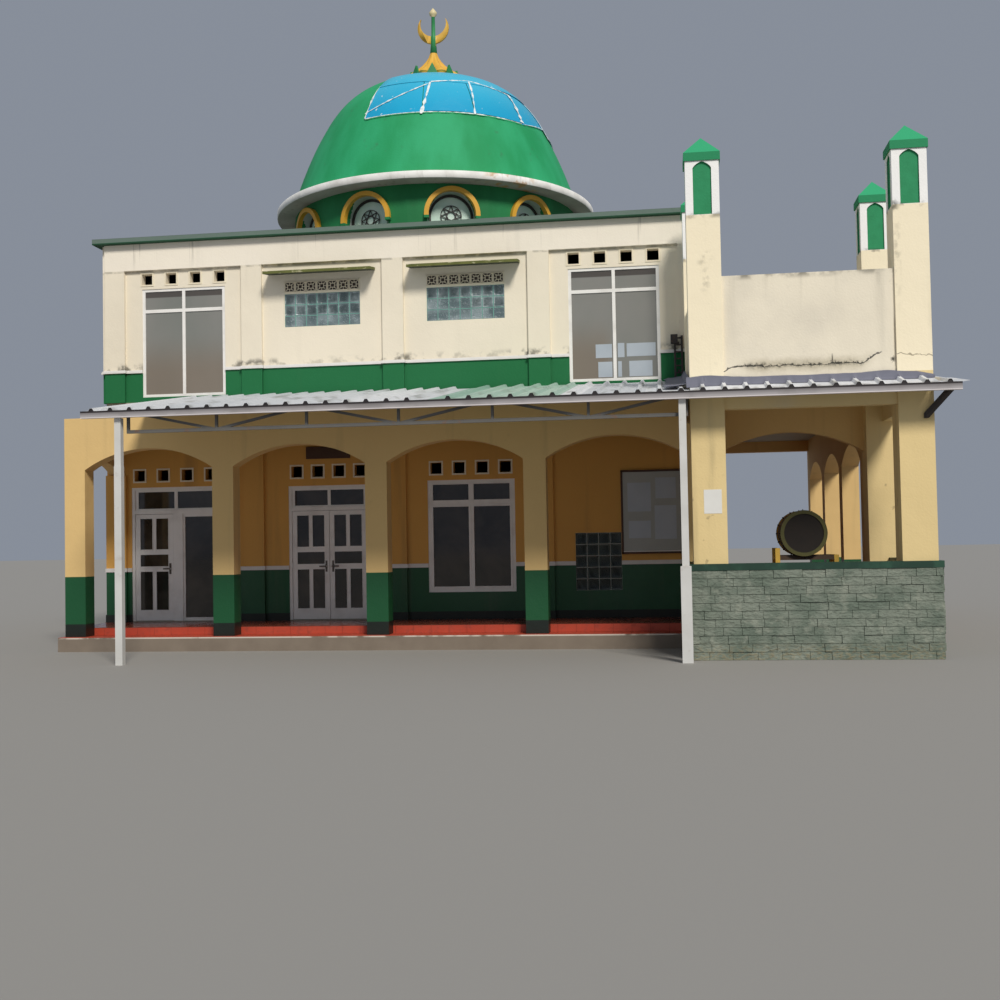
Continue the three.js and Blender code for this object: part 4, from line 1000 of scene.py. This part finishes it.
def drum_tracery(shape):
    """A plain star in a ring over upright bars."""
    bar, y, radius = 0.014, -0.02, 0.2
    centre = DRUM_SPRING + 0.02
    for count, skip in ((16, 1), (8, 3)):
        for i in range(count):
            start, end = [
                (radius * math.cos(angle), y, centre + radius * math.sin(angle))
                for angle in (2 * math.pi * i / count, 2 * math.pi * (i + skip) / count)
            ]
            bar_in(shape, start, end, bar, bar)
    for x in (-0.26, -0.13, 0, 0.13, 0.26):
        bar_in(shape, (x, y, DRUM_SILL + 0.03), (x, y, centre - 0.19), bar, bar)
    bar_in(shape, (-0.38, y, centre - radius), (0.38, y, centre - radius), bar, bar)


def around_drum(name, finish, radius, draw, smooth=40):
    """Repeats at each window of the drum what is drawn in X and Z; outwards is -Y."""
    whole = bmesh.new()
    for i in range(DRUM_COUNT):
        known = set(whole.verts)
        draw(whole)
        for vert in set(whole.verts) - known:
            angle = vert.co.x / radius + (i + 0.5) * 2 * math.pi / DRUM_COUNT
            reach = radius - vert.co.y
            vert.co = (reach * math.sin(angle), -reach * math.cos(angle), vert.co.z)
    piece(name, whole, finish, smooth=smooth)


def drum_windows():
    """Yellow arches on green feet outside; grey reveals, dark frames and tracery within."""
    glazed = DRUM_RADIUS - DRUM_WALL
    low = DRUM_SILL + 0.004
    around_drum("drum_arches", YELLOW_TRIM, DRUM_RADIUS, lambda shape: arch_band(
        shape, DRUM_HALF, DRUM_HALF + 0.085, -0.085, 0.01, DRUM_SPRING - 0.03))
    around_drum("drum_arch_feet", DRUM_GREEN, DRUM_RADIUS, arch_feet)
    around_drum("drum_reveals", REVEAL_GREY, glazed, lambda shape: arch_band(
        shape, DRUM_HALF - 0.011, DRUM_HALF - 0.003, -0.2, -0.004, low))
    around_drum("drum_frames", DARK_STEEL, glazed, lambda shape: arch_band(
        shape, 0.385, DRUM_HALF - 0.012, -0.03, -0.004, low))
    around_drum("drum_tracery", DARK_STEEL, glazed, drum_tracery, smooth=None)


# Walls

ENDS = {"front": SIDE, "back": SIDE, "left": FRONT, "right": FRONT}
FRONT_POSTS = [i * BAY for i in range(-2, 3)]
SIDE_POSTS = [share * (FRONT - PILASTER / 2) for share in (-1, -1 / 3, 1 / 3, 1)]
UPPER_WINDOWS = {
    "front": [-BAY / 2, BAY / 2],
    "left": [-2.78, 0, 2.78],
    "right": [-2.78, 0, 2.78],
    "back": [-1.5 * BAY, -BAY / 2, BAY / 2, 1.5 * BAY],
}
LOWER_WINDOWS = {"left": [2.17, -1.05], "right": [-2.17, 1.05], "back": [-1.5 * BAY, 0, 1.5 * BAY]}
WINDOW_HALF = (FRONT_WINDOW[1] - FRONT_WINDOW[0]) / 2


def wall_strip(shape, face, openings, posts, low, high, proud):
    """A strip along a wall between its openings, carried round its pilasters."""
    end = ENDS[face]
    edges = [-end] + [edge for opening in sorted(openings) for edge in opening] + [end]
    verts = []
    for start, stop in zip(edges[::2], edges[1::2]):
        verts += box_in(shape, (start, -proud, low), (stop, 0, high))
    half = PILASTER / 2 + proud
    for centre in posts:
        verts += box_in(shape, (centre - half, -PROUD - proud, low), (centre + half, 0, high))
    on_wall(shape, verts, face)


def upper_moulding():
    """A white moulding on top of the green band."""
    shape = bmesh.new()
    left, right = TALL_WINDOW[:2]
    for face, end in ENDS.items():
        openings = [(-right, -left), (left, right)] if face == "front" else []
        posts = FRONT_POSTS if end == SIDE else SIDE_POSTS
        for proud, low, high in ((0.028, 0, 0.035), (0.016, 0.035, 0.055)):
            wall_strip(shape, face, openings, posts, BAND_TOP + low, BAND_TOP + high, proud)
    piece("upper_moulding", shape, WHITE_TRIM)


def wall_rail():
    """The white rail on top of the green dado, and the black skirting below it."""
    rail, base = bmesh.new(), bmesh.new()
    for face in ENDS:
        windows = [(x - WINDOW_HALF, x + WINDOW_HALF) for x in LOWER_WINDOWS.get(face, [])]
        doors, posts = [], []
        if face == "front":
            windows = [FRONT_WINDOW[:2], BLOCK_PANEL[:2]]
            doors = [SIDE_DOOR, MAIN_DOOR]
            posts = FRONT_POSTS
        wall_strip(rail, face, windows + doors, posts, DADO_TOP, RAIL_TOP, 0.014)
        wall_strip(base, face, doors, posts, FLOOR + 0.004, SKIRTING_TOP, 0.012)
    piece("wall_rail", rail, WHITE_TRIM)
    piece("skirting", base, SKIRTING_BLACK)


def block_grid(shape, face, left, bottom, columns, rows):
    half = BLOCK / 2 - 0.008
    verts = []
    for column in range(columns):
        for row in range(rows):
            x = left + BLOCK * (column + 0.5)
            z = bottom + BLOCK * (row + 0.5)
            verts += box_in(shape, (x - half, 0.008, z - half), (x + half, 0.104, z + half))
    on_wall(shape, verts, face)


def glass_blocks():
    """Dished glass blocks, with joints of mortar where the frame has no solid for them."""
    windows, panel, joints = bmesh.new(), bmesh.new(), bmesh.new()
    low, high = BLOCK_WINDOW
    for face, centres in UPPER_WINDOWS.items():
        for centre in centres:
            left, right = centre - 0.7, centre + 0.7
            block_grid(windows, face, left, low, 7, 3)
            if face != "front":
                slim = 0.0005
                verts = box_in(joints, (left + slim, 0.015, low + slim), (right - slim, 0.095, high - slim))
                on_wall(joints, verts, face)
    block_grid(panel, "front", BLOCK_PANEL[0], BLOCK_PANEL[2], 4, 5)
    for name, blocks, finish in (
        ("glass_blocks", windows, GLASS_BLOCK), ("panel_blocks", panel, DARK_BLOCK),
    ):
        broad = [face for face in blocks.faces if face.calc_area() > 0.03]
        bmesh.ops.inset_individual(blocks, faces=broad, thickness=0.022, depth=-0.007)
        soften(blocks, 0.003)
        piece(name, blocks, finish, smooth=30)
    piece("block_joints", joints, TEAL_JOINT)


def ornament_bars():
    """The bars of one pierced block about its middle: two ends, width and thickness."""
    outer, inner, rim, hub = 0.098, 0.036, 0.023, 0.028
    edge = outer - rim / 2
    bars = []
    for a in (-1, 1):
        for reach, at, width, depth in ((outer, edge, rim, 0.012), (0.05, inner, hub, 0.010)):
            bars.append((-reach, a * at, reach, a * at, width, depth))
            bars.append((a * at, -reach, a * at, reach, width, depth))
        bars.append((0, a * inner, 0, a * outer, 0.028, 0.008))
        bars.append((a * inner, 0, a * outer, 0, 0.028, 0.008))
        for b in (-1, 1):
            bars.append((a * inner, b * inner, a * outer, b * outer, 0.026, 0.008))
    return bars


def ornament_rows():
    """Rows of pierced blocks over the glass block windows, with dark plates of painted shade behind their
    holes.
    """
    shape, holes = bmesh.new(), bmesh.new()
    z = ORNAMENT_BOTTOM + BLOCK / 2
    hole = 0.085
    for face, centres in UPPER_WINDOWS.items():
        verts, dark = [], []
        for x in [centre + (i - 3) * BLOCK for centre in centres for i in range(7)]:
            # A dark plate behind each block: painted shade in its holes.
            dark += box_in(holes, (x - hole, -0.002, z - hole), (x + hole, 0, z + hole))
            for x0, z0, x1, z1, width, depth in ornament_bars():
                y = -depth / 2
                verts += bar_in(shape, (x + x0, y, z + z0), (x + x1, y, z + z1), width, depth)
        on_wall(shape, verts, face)
        on_wall(holes, dark, face)
    piece("ornament_blocks", shape, CREAM_TRIM)
    piece("ornament_hole_shade", holes, HOLE_SHADE)


def vent_surrounds():
    """A raised border round every square vent of the front."""
    shape = bmesh.new()
    near, far = TALL_WINDOW[:2]
    verts = []
    for left, right, bottom, inset in (
        (*SIDE_DOOR, LOWER_VENTS, 0.06), (*MAIN_DOOR, LOWER_VENTS, 0.06),
        (*FRONT_WINDOW[:2], LOWER_VENTS, 0.06), (near, far, UPPER_VENTS, 0), (-far, -near, UPPER_VENTS, 0),
    ):
        for i in range(4):
            x = left + inset + i * (right - left - 2 * inset - VENT) / 3
            verts += border_in(shape, (x, x + VENT, bottom, bottom + VENT), 0.028, -0.01, 0)
    on_wall(shape, verts, "front")
    piece("vent_surrounds", shape, CREAM_TRIM)


# Doors and windows


def paired_fields(side, middle, *rows):
    """Two equal fields in each row of a frame, as shares of its width and height."""
    return [(*across, *row) for row in rows for across in ((side, middle), (1 - middle, 1 - side))]


LEAF_FIELDS = [*paired_fields(0.13, 0.45, (0.1, 0.46), (0.67, 0.96)), (0.13, 0.87, 0.51, 0.62)]
TWO_LIGHTS = paired_fields(0.04, 0.48, (0.08, 0.92))
FIXED_LIGHT = [(0.06, 0.94, 0.03, 0.97)]
WINDOW_FIELDS = paired_fields(0.06, 0.47, (0.05, 0.76), (0.82, 0.96))
TALL_FIELDS = paired_fields(0.035, 0.482, (0.025, 0.78), (0.81, 0.975))
PANE = 0.004
# The sunk planes of a frame, outside and inside its web
DOOR_WEB = (-FRONT + 0.048, -FRONT + 0.062)
WINDOW_WEB = (-FRONT + 0.04, -FRONT + 0.06)
TALL_WEB = (-FRONT + 0.035, -FRONT + 0.055)
# Area, body and the side of the handle, 1 for the right
LEAVES = {
    "main_door_left": ((-1.921, -1.241, 0.396, 2.335), "main_leaf_left", 1),
    "main_door_right": ((-1.233, -0.553, 0.396, 2.335), "main_leaf_right", -1),
    "side_door_leaf": ((-4.899, -4.176, 0.396, 2.335), "side_leaf", 1),
}


def panes_in(shape, area, fields, web):
    """Panes in the sunk fields of a frame, on both sides of its web."""
    outer, inner = web
    for shares in fields:
        x0, x1, z0, z1 = part_of(area, shares)
        box_in(shape, (x0, outer - PANE, z0), (x1, outer, z1))
        box_in(shape, (x0, inner, z0), (x1, inner + PANE, z1))


def field_bead(shape, area, fields, depth, width, proud):
    """A bead round each field on the outer face of a frame."""
    for shares in fields:
        border_in(shape, part_of(area, shares), width, depth - proud, depth)


def door_leaves():
    """Panes, beads and a lever handle on a plate."""
    face, grip = -FRONT + 0.02, 1.34
    for node, (area, body, side) in LEAVES.items():
        glass, beads, metal = bmesh.new(), bmesh.new(), bmesh.new()
        panes_in(glass, area, LEAF_FIELDS, (face + 0.014, face + 0.026))
        piece(node + "_panes", glass, DARK_GLASS, body=body)
        field_bead(beads, area, LEAF_FIELDS, face, 0.012, 0.006)
        piece(node + "_beads", beads, FRAME_WHITE, body=body)
        x = area[1] - 0.06 if side > 0 else area[0] + 0.06
        low, high = sorted((x + side * 0.014, x - side * 0.115))
        box_in(metal, (x - 0.02, face - 0.004, grip - 0.1), (x + 0.02, face, grip + 0.1))
        box_in(metal, (low, face - 0.064, grip - 0.0115), (high, face - 0.042, grip + 0.0115))
        soften(metal, 0.002)
        piece(node + "_handle", metal, HANDLE, body=body)


def front_glazing():
    """Panes of the fixed frames in the front, and the front window's beads."""
    glass, beads = bmesh.new(), bmesh.new()
    panes_in(glass, (-1.927, -0.547, 2.411, 2.735), TWO_LIGHTS, DOOR_WEB)
    panes_in(glass, (-4.905, -3.335, 2.411, 2.775), TWO_LIGHTS, DOOR_WEB)
    panes_in(glass, (-3.99, -3.335, 0.39, 2.341), FIXED_LIGHT, DOOR_WEB)
    panes_in(glass, FRONT_WINDOW, WINDOW_FIELDS, WINDOW_WEB)
    piece("front_panes", glass, DARK_GLASS)
    face = -FRONT + 0.015
    field_bead(beads, FRONT_WINDOW, WINDOW_FIELDS[:2], face, 0.035, 0.012)
    field_bead(beads, FRONT_WINDOW, WINDOW_FIELDS[2:], face, 0.012, 0.006)
    soften(beads, 0.002)
    piece("front_window_beads", beads, FRAME_WHITE)
    left, right, *heights = TALL_WINDOW
    for name, area in (("right", TALL_WINDOW), ("left", (-right, -left, *heights))):
        tall = bmesh.new()
        panes_in(tall, area, TALL_FIELDS, TALL_WEB)
        piece("tall_panes_" + name, tall, TALL_GLASS)
    pane = TALL_WEB[0] - PANE
    boxes("window_boards", [(x0, x1, pane - 0.0025, pane - 0.0005, z0, z1) for x0, x1, z0, z1 in (
        (3.6, 3.885, 4.9, 5.14), (3.985, 4.10, 4.9, 5.15), (4.14, 4.64, 4.91, 5.14),
        (3.64, 3.885, 4.56, 4.83), (3.985, 4.05, 4.56, 4.83), (4.18, 4.58, 4.56, 4.83),
    )], PALE_BOARD)


def lower_windows():
    """White windows like the front one in the sides and the back."""
    frames, glass = bmesh.new(), bmesh.new()
    bottom, top = FRONT_WINDOW[2:]
    bars = [((a, b, 0, 1), 0.02, 0.08) for a, b in ((0, 0.06), (0.47, 0.53), (0.94, 1))]
    bars += [((0, 1, c, d), 0.025, 0.075) for c, d in ((0, 0.05), (0.76, 0.82), (0.96, 1))]
    for face, centres in LOWER_WINDOWS.items():
        verts, panes = [], []
        for centre in centres:
            left, right = centre - WINDOW_HALF, centre + WINDOW_HALF
            for shares, outer, inner in bars:
                x0, x1, z0, z1 = part_of((left, right, bottom, top), shares)
                verts += box_in(frames, (x0, outer, z0), (x1, inner, z1))
            panes += box_in(glass, (left + 0.02, 0.048, bottom + 0.02), (right - 0.02, 0.054, top - 0.02))
        on_wall(frames, verts, face)
        on_wall(glass, panes, face)
    piece("lower_window_frames", frames, FRAME_WHITE)
    piece("lower_window_panes", glass, DARK_GLASS)


# Canopy

RIB_PITCH = 0.3
RIB_HEIGHT = 0.045
RIB_FOOT, RIB_CROWN = 0.046, 0.02
SHEET_LEFT, SHEET_RIGHT = -3.85, 8.75
SHEET_FRONT, SHEET_LEVEL = -8.44, 3.776
SHEET_SLOPE = 0.67 / 4.1
PORCH_SHEET_SLOPE = 0.115 / 0.42


def sheet_level(y, slope=SHEET_SLOPE):
    """Underside of the sheets at a depth."""
    return SHEET_LEVEL + (y - SHEET_FRONT) * slope


def ribbed(shape, x0, x1, y0, y1, slope=SHEET_SLOPE):
    """A folded sheet between two sides; returns the middles of its ribs."""
    count = round((SHEET_RIGHT - SHEET_LEFT) / RIB_PITCH)
    middles = [SHEET_LEFT + (i + 0.5) * RIB_PITCH for i in range(count)]
    middles = [x for x in middles if x0 < x - RIB_FOOT and x + RIB_FOOT < x1]
    points = [(x0, 0)]
    for x in middles:
        points += [(x - RIB_FOOT, 0), (x - RIB_CROWN, RIB_HEIGHT)]
        points += [(x + RIB_CROWN, RIB_HEIGHT), (x + RIB_FOOT, 0)]
    points.append((x1, 0))
    line = outline(shape, [(x, y0, sheet_level(y0, slope) + z) for x, z in points], closed=False)
    drawn_out(shape, line, (0, y1 - y0, (y1 - y0) * slope))
    return middles


def canopy_sheets():
    """Grey folded sheets with pale green ones between, and dark plates of painted shade in the open ends of
    their ribs.
    """
    beside, past = PORCH_LEFT - 0.005, PORCH_RIGHT + 0.005
    wall, rear = -FRONT - PROUD - 0.002, PORCH_FACE + 1.02
    green_left, green_right = 1.4, 3.3
    grey, green, mouth_shade = bmesh.new(), bmesh.new(), bmesh.new()
    middles = ribbed(grey, SHEET_LEFT, green_left + 0.03, SHEET_FRONT, wall)
    middles += ribbed(grey, green_right - 0.03, beside, SHEET_FRONT, wall)
    middles += ribbed(grey, beside, past, SHEET_FRONT, PORCH_FACE - 0.002, slope=PORCH_SHEET_SLOPE)
    middles += ribbed(grey, past, SHEET_RIGHT, SHEET_FRONT, rear)
    ear = [(SHEET_RIGHT, SHEET_FRONT), (8.94, -8.1), (8.94, rear), (SHEET_RIGHT, rear)]
    grey.faces.new([grey.verts.new((x, y, sheet_level(y))) for x, y in ear])
    thickened(grey, 0.002)
    piece("ribbed_sheets", grey, GREY_SHEET, replaces=["canopy_sheets"])
    middles += ribbed(green, green_left, green_right, SHEET_FRONT - 0.004, wall)
    bmesh.ops.translate(green, verts=green.verts[:], vec=(0, 0, 0.004))
    thickened(green, 0.002)
    piece("pale_sheets", green, GREEN_SHEET)
    # Dark plates just behind the front edge are painted shade inside the open ends of the ribs.
    y = SHEET_FRONT + 0.008
    high = RIB_HEIGHT - 0.002
    for x in middles:
        corners = ((x - RIB_FOOT, 0), (x + RIB_FOOT, 0), (x + RIB_CROWN, high), (x - RIB_CROWN, high))
        mouth_shade.faces.new([mouth_shade.verts.new((a, y, sheet_level(y) + z)) for a, z in corners])
    piece("rib_end_shade", mouth_shade, SHADOW, turn_out=False)


def flashing():
    """A grey membrane seals the sheets against the front and the left side of the porch."""
    shape = bmesh.new()
    left, right = 5.08, 8.49
    for vert in grid_in(shape, 160, 4):
        row = round(vert.co.y * 4)
        x = left + (right - left) * vert.co.x
        ragged = noise.noise(Vector((x * 2.3, 7.1, 0)))
        fine = noise.noise(Vector((x * 9.0, 2.2, row)))
        pitches = (x - SHEET_LEFT) / RIB_PITCH
        past_rib = (pitches + 0.36) % 1
        on_rib = max(0, 1 - abs(pitches % 1 - 0.5) * RIB_PITCH / RIB_FOOT * 0.8)
        left_end = max(0, 1 - (x - left) / 0.5)
        right_end = max(0, (x - 8.1) / 0.39)
        reach = (0.04 + 0.11 * left_end + 0.05 * past_rib + 0.01 * ragged) * (1 - 0.7 * right_end)
        y = PORCH_FACE - [-0.035, 0.008, 0.02, 0.6 * reach, reach][row]
        level = sheet_level(y, PORCH_SHEET_SLOPE) + 0.004 + RIB_HEIGHT * on_rib
        bumps = 0.045 * math.exp(-(((x - 5.38) / 0.3) ** 2)) + 0.022 * math.exp(-(((x - 7.85) / 0.25) ** 2))
        top = 4.003 + bumps - 0.05 * max(0, (x - 8.25) / 0.24) + 0.006 * ragged
        z = [top, top - 0.012, level + 0.04, level + 0.012, level + 0.004][row]
        vert.co = (x, y, z + 0.004 * fine)
    for vert in grid_in(shape, 3, 40):
        column = round(vert.co.x * 3)
        y = PORCH_FACE + 3.6 * vert.co.y
        ragged = noise.noise(Vector((3.3, y * 2.1, 0)))
        x = [4.80 + 0.07 * ragged, 4.92, 5.07, 5.121][column]
        lift = [0.006, 0.012, 0.035, 0.13][column]
        vert.co = (x, y, sheet_level(y) + RIB_HEIGHT + lift + 0.006 * ragged)
    thickened(shape, 0.005)
    piece("roof_flashing", shape, MEMBRANE, smooth=50)


def wall_ladder():
    """A short dark steel ladder between the tall window and the porch."""
    y, left, right = -FRONT - 0.09, 4.97, 5.09
    parts = [(x - 0.018, x + 0.018, y - 0.02, y + 0.02, 4.46, 5.22) for x in (left, right)]
    for z in [4.58 + i * 0.12 for i in range(6)]:
        parts.append((left, right, y - 0.012, y + 0.012, z - 0.012, z + 0.012))
    parts.append((4.90, 5.02, y - 0.04, y + 0.04, 5.08, 5.24))
    parts += [(5.015, 5.045, y, -FRONT - 0.0005, z - 0.015, z + 0.015) for z in (4.62, 5.1)]
    boxes("wall_ladder", parts, DARK_STEEL, soft=0.003)


# Porch

STONE_COURSES = 11
STONE_JOINT = 0.003


def stones_on(shape, start, end, place, dice):
    """Courses of stones of uneven length and depth along a wall."""
    height = STONE_TOP / STONE_COURSES
    verts = []
    for course in range(STONE_COURSES):
        low, high = course * height + STONE_JOINT, (course + 1) * height - STONE_JOINT
        x = start - dice.uniform(0, 0.25)
        while x < end:
            length = dice.uniform(0.24, 0.42)
            left, right = max(x, start), min(x + length, end)
            if right - left > 0.05:
                proud = dice.uniform(0.004, 0.022)
                verts += box_in(shape, (left + STONE_JOINT, -proud, low), (right - STONE_JOINT, 0.001, high))
            x += length
    bmesh.ops.transform(shape, matrix=place, verts=verts)


def stone_cladding():
    """Courses of split stone on the three outer faces of the low porch wall."""
    dice = random.Random(11)
    shape = bmesh.new()
    left, right, face = PORCH_LEFT - 0.04, PORCH_RIGHT + 0.04, PORCH_FACE - 0.04
    rear = PORCH_FACE + PIER_SPACING + PIER
    quarter = Matrix.Rotation(math.pi / 2, 4, "Z")
    stones_on(shape, left, right, Matrix.Translation((0, face, 0)), dice)
    stones_on(shape, face, rear, Matrix.Translation((right, 0, 0)) @ quarter, dice)
    stones_on(shape, -ARCADE_FACE, -face, Matrix.Translation((left, 0, 0)) @ quarter.inverted(), dice)
    bmesh.ops.subdivide_edges(shape, edges=shape.edges[:], cuts=2, use_grid_fill=True)
    for vert in shape.verts:
        roughness = noise.noise(vert.co * 17) * 0.008
        vert.co += Vector((roughness, -abs(roughness), roughness * 0.4))
    piece("stone_cladding", shape, STONE)


BARREL_RADIUS, BARREL_HALF = 0.33, 0.37
BARREL_PLACE = Matrix.Translation((6.81, -6.32, 1.77)) @ Matrix.Rotation(math.pi / 2, 4, "X")


def laid(name, shape, finish, replaces=()):
    """Lays a part of the calling drum, made upright at the origin, on its rack."""
    bmesh.ops.transform(shape, matrix=BARREL_PLACE, verts=shape.verts[:])
    piece(name, shape, finish, replaces=replaces, smooth=40)


def barrel_and_hides():
    """A bulging barrel of dark wood with a hide on each end."""
    barrel, hides = bmesh.new(), bmesh.new()
    outer = []
    for share in [i / 8 for i in range(-8, 9)]:
        bulge = 1 + 0.03 * (1 - share * share)
        outer.append((BARREL_RADIUS * bulge, share * (BARREL_HALF - 0.01)))
    turned(barrel, outer + [(reach - 0.035, z) for reach, z in outer[::-1]], steps=64)
    laid("drum_barrel", barrel, DRUM_WOOD, replaces=["calling_drum"])
    hide, inset = BARREL_RADIUS * 0.94, 0.018
    for z in (inset - BARREL_HALF, BARREL_HALF - inset):
        bmesh.ops.create_cone(
            hides, cap_ends=True, segments=64, radius1=hide, radius2=hide, depth=0.006,
            matrix=Matrix.Translation((0, 0, z)),
        )
    laid("drum_hides", hides, DRUM_SKIN)


def barrel_hoops():
    """An olive and a yellow hoop round each end."""
    for name, finish, slot, inner, reach, start, width in (
        ("drum_hoops_olive", DRUM_OLIVE, "drum_wood", 0.036, 0.018, 0.0, 0.05),
        ("drum_hoops_yellow", YELLOW_TRIM, "finial_yellow", 0.01, 0.013, 0.05, 0.03),
    ):
        hoops = bmesh.new()
        for side in (-1, 1):
            a, b = side * (BARREL_HALF - start), side * (BARREL_HALF - start - width)
            near, far = BARREL_RADIUS - inner, BARREL_RADIUS + reach
            turned(hoops, [(near, a), (far, a), (far, b), (near, b)], steps=64)
        laid(name, hoops, finish)


def barrel_pegs():
    """Two rings of pegs that hold the hides."""
    pegs, count, inset = bmesh.new(), 16, 0.1
    for z in (inset - BARREL_HALF, BARREL_HALF - inset):
        for i in range(count):
            turn = Matrix.Rotation(2 * math.pi * i / count, 4, "Z")
            place = turn @ Matrix.Translation((BARREL_RADIUS + 0.012, 0, z))
            bmesh.ops.create_cone(
                pegs, cap_ends=True, segments=8, radius1=0.012, radius2=0.008, depth=0.04,
                matrix=place @ Matrix.Rotation(math.pi / 2, 4, "Y"),
            )
    laid("drum_pegs", pegs, BOARD_WOOD)


# Floors

TILE_SIZE = 0.3
TILE_JOINT = 0.004


def tile_spans(start, end):
    """The stretches that tiles cover between two ends, the last one cut."""
    spans = []
    for i in range(math.ceil((end - start) / TILE_SIZE)):
        low = start + i * TILE_SIZE
        high = min(low + TILE_SIZE, end)
        if high - low > 0.02:
            spans.append((low + TILE_JOINT / 2, high - TILE_JOINT / 2))
    return spans


def tiles_over(shape, x0, x1, y0, y1, top):
    """Square tiles from the front left corner, cut where the floor ends."""
    for left, right in tile_spans(x0, x1):
        for front, rear in tile_spans(y0, y1):
            box_in(shape, (left, front, top - 0.005), (right, rear, top + 0.003))


def floor_tiles():
    """Red tiles on the steps, darker ones on the veranda, in the porch and in the gallery."""
    raised = ARCADE_FACE + 0.32
    steps, veranda, gallery = bmesh.new(), bmesh.new(), bmesh.new()
    tiles_over(steps, -SIDE, 5.09, ARCADE_FACE - 0.15, raised, TREAD)
    for left, right in tile_spans(-SIDE, 5.09):
        box_in(steps, (left, raised - 0.003, TREAD + 0.004), (right, raised + 0.004, FLOOR - 0.006))
    tiles_over(veranda, -SIDE, 5.125, raised, -FRONT, FLOOR)
    tiles_over(gallery, 5.295, 8.305, -7.855, -4.80, FLOOR)
    tiles_over(gallery, 5.44, 8.465, -4.79, FRONT, FLOOR)
    for name, shape, finish in (
        ("step_tiles", steps, STEP_TILE), ("veranda_tiles", veranda, TILE), ("gallery_tiles", gallery, TILE),
    ):
        soften(shape, 0.0015)
        piece(name, shape, finish)


# Boards


def boards():
    """The notice board's frame, ledge and bare sheets, a board over the door, and a bare paper."""
    left, right, bottom, top = 3.985, 5.04, 1.47, 2.92
    face, bar = -FRONT - 0.05, 0.035
    depth = (face - 0.014, face)
    boxes("notice_frame", [
        (left, right, *depth, bottom, bottom + bar), (left, right, *depth, top - bar, top),
        (left, left + bar, *depth, bottom, top), (right - bar, right, *depth, bottom, top),
    ], BOARD_WOOD, soft=0.002)
    ledge = (left + bar, right - bar, face - 0.02, face, bottom + bar, bottom + bar + 0.018)
    boxes("notice_ledge", [ledge], WHITE_TRIM, soft=0.002)
    boxes("notice_sheets", [(x0, x1, face - 0.002, face + 0.001, z0, z1) for x0, x1, z0, z1 in (
        (4.11, 4.49, 1.74, 2.04), (4.56, 4.93, 1.72, 2.3), (4.1, 4.5, 2.2, 2.7), (4.58, 4.93, 2.42, 2.78),
    )], PALE_BOARD)
    plank = (-1.64, -0.83, -FRONT - 0.03, -FRONT - 0.001, 3.27, 3.49)
    boxes("door_board", [plank], BOARD_WOOD, soft=0.004)
    paper = (5.29, 5.54, PORCH_FACE - 0.003, PORCH_FACE - 0.0005, 2.07, 2.41)
    boxes("pier_paper", [paper], PAPER)


studio()
coat_frame()
dome()
finial_foot()
dome_sheets()
drum_windows()
upper_moulding()
glass_blocks()
ornament_rows()
vent_surrounds()
door_leaves()
front_glazing()
lower_windows()
wall_rail()
canopy_sheets()
flashing()
wall_ladder()
stone_cladding()
barrel_and_hides()
barrel_hoops()
barrel_pegs()
floor_tiles()
boards()
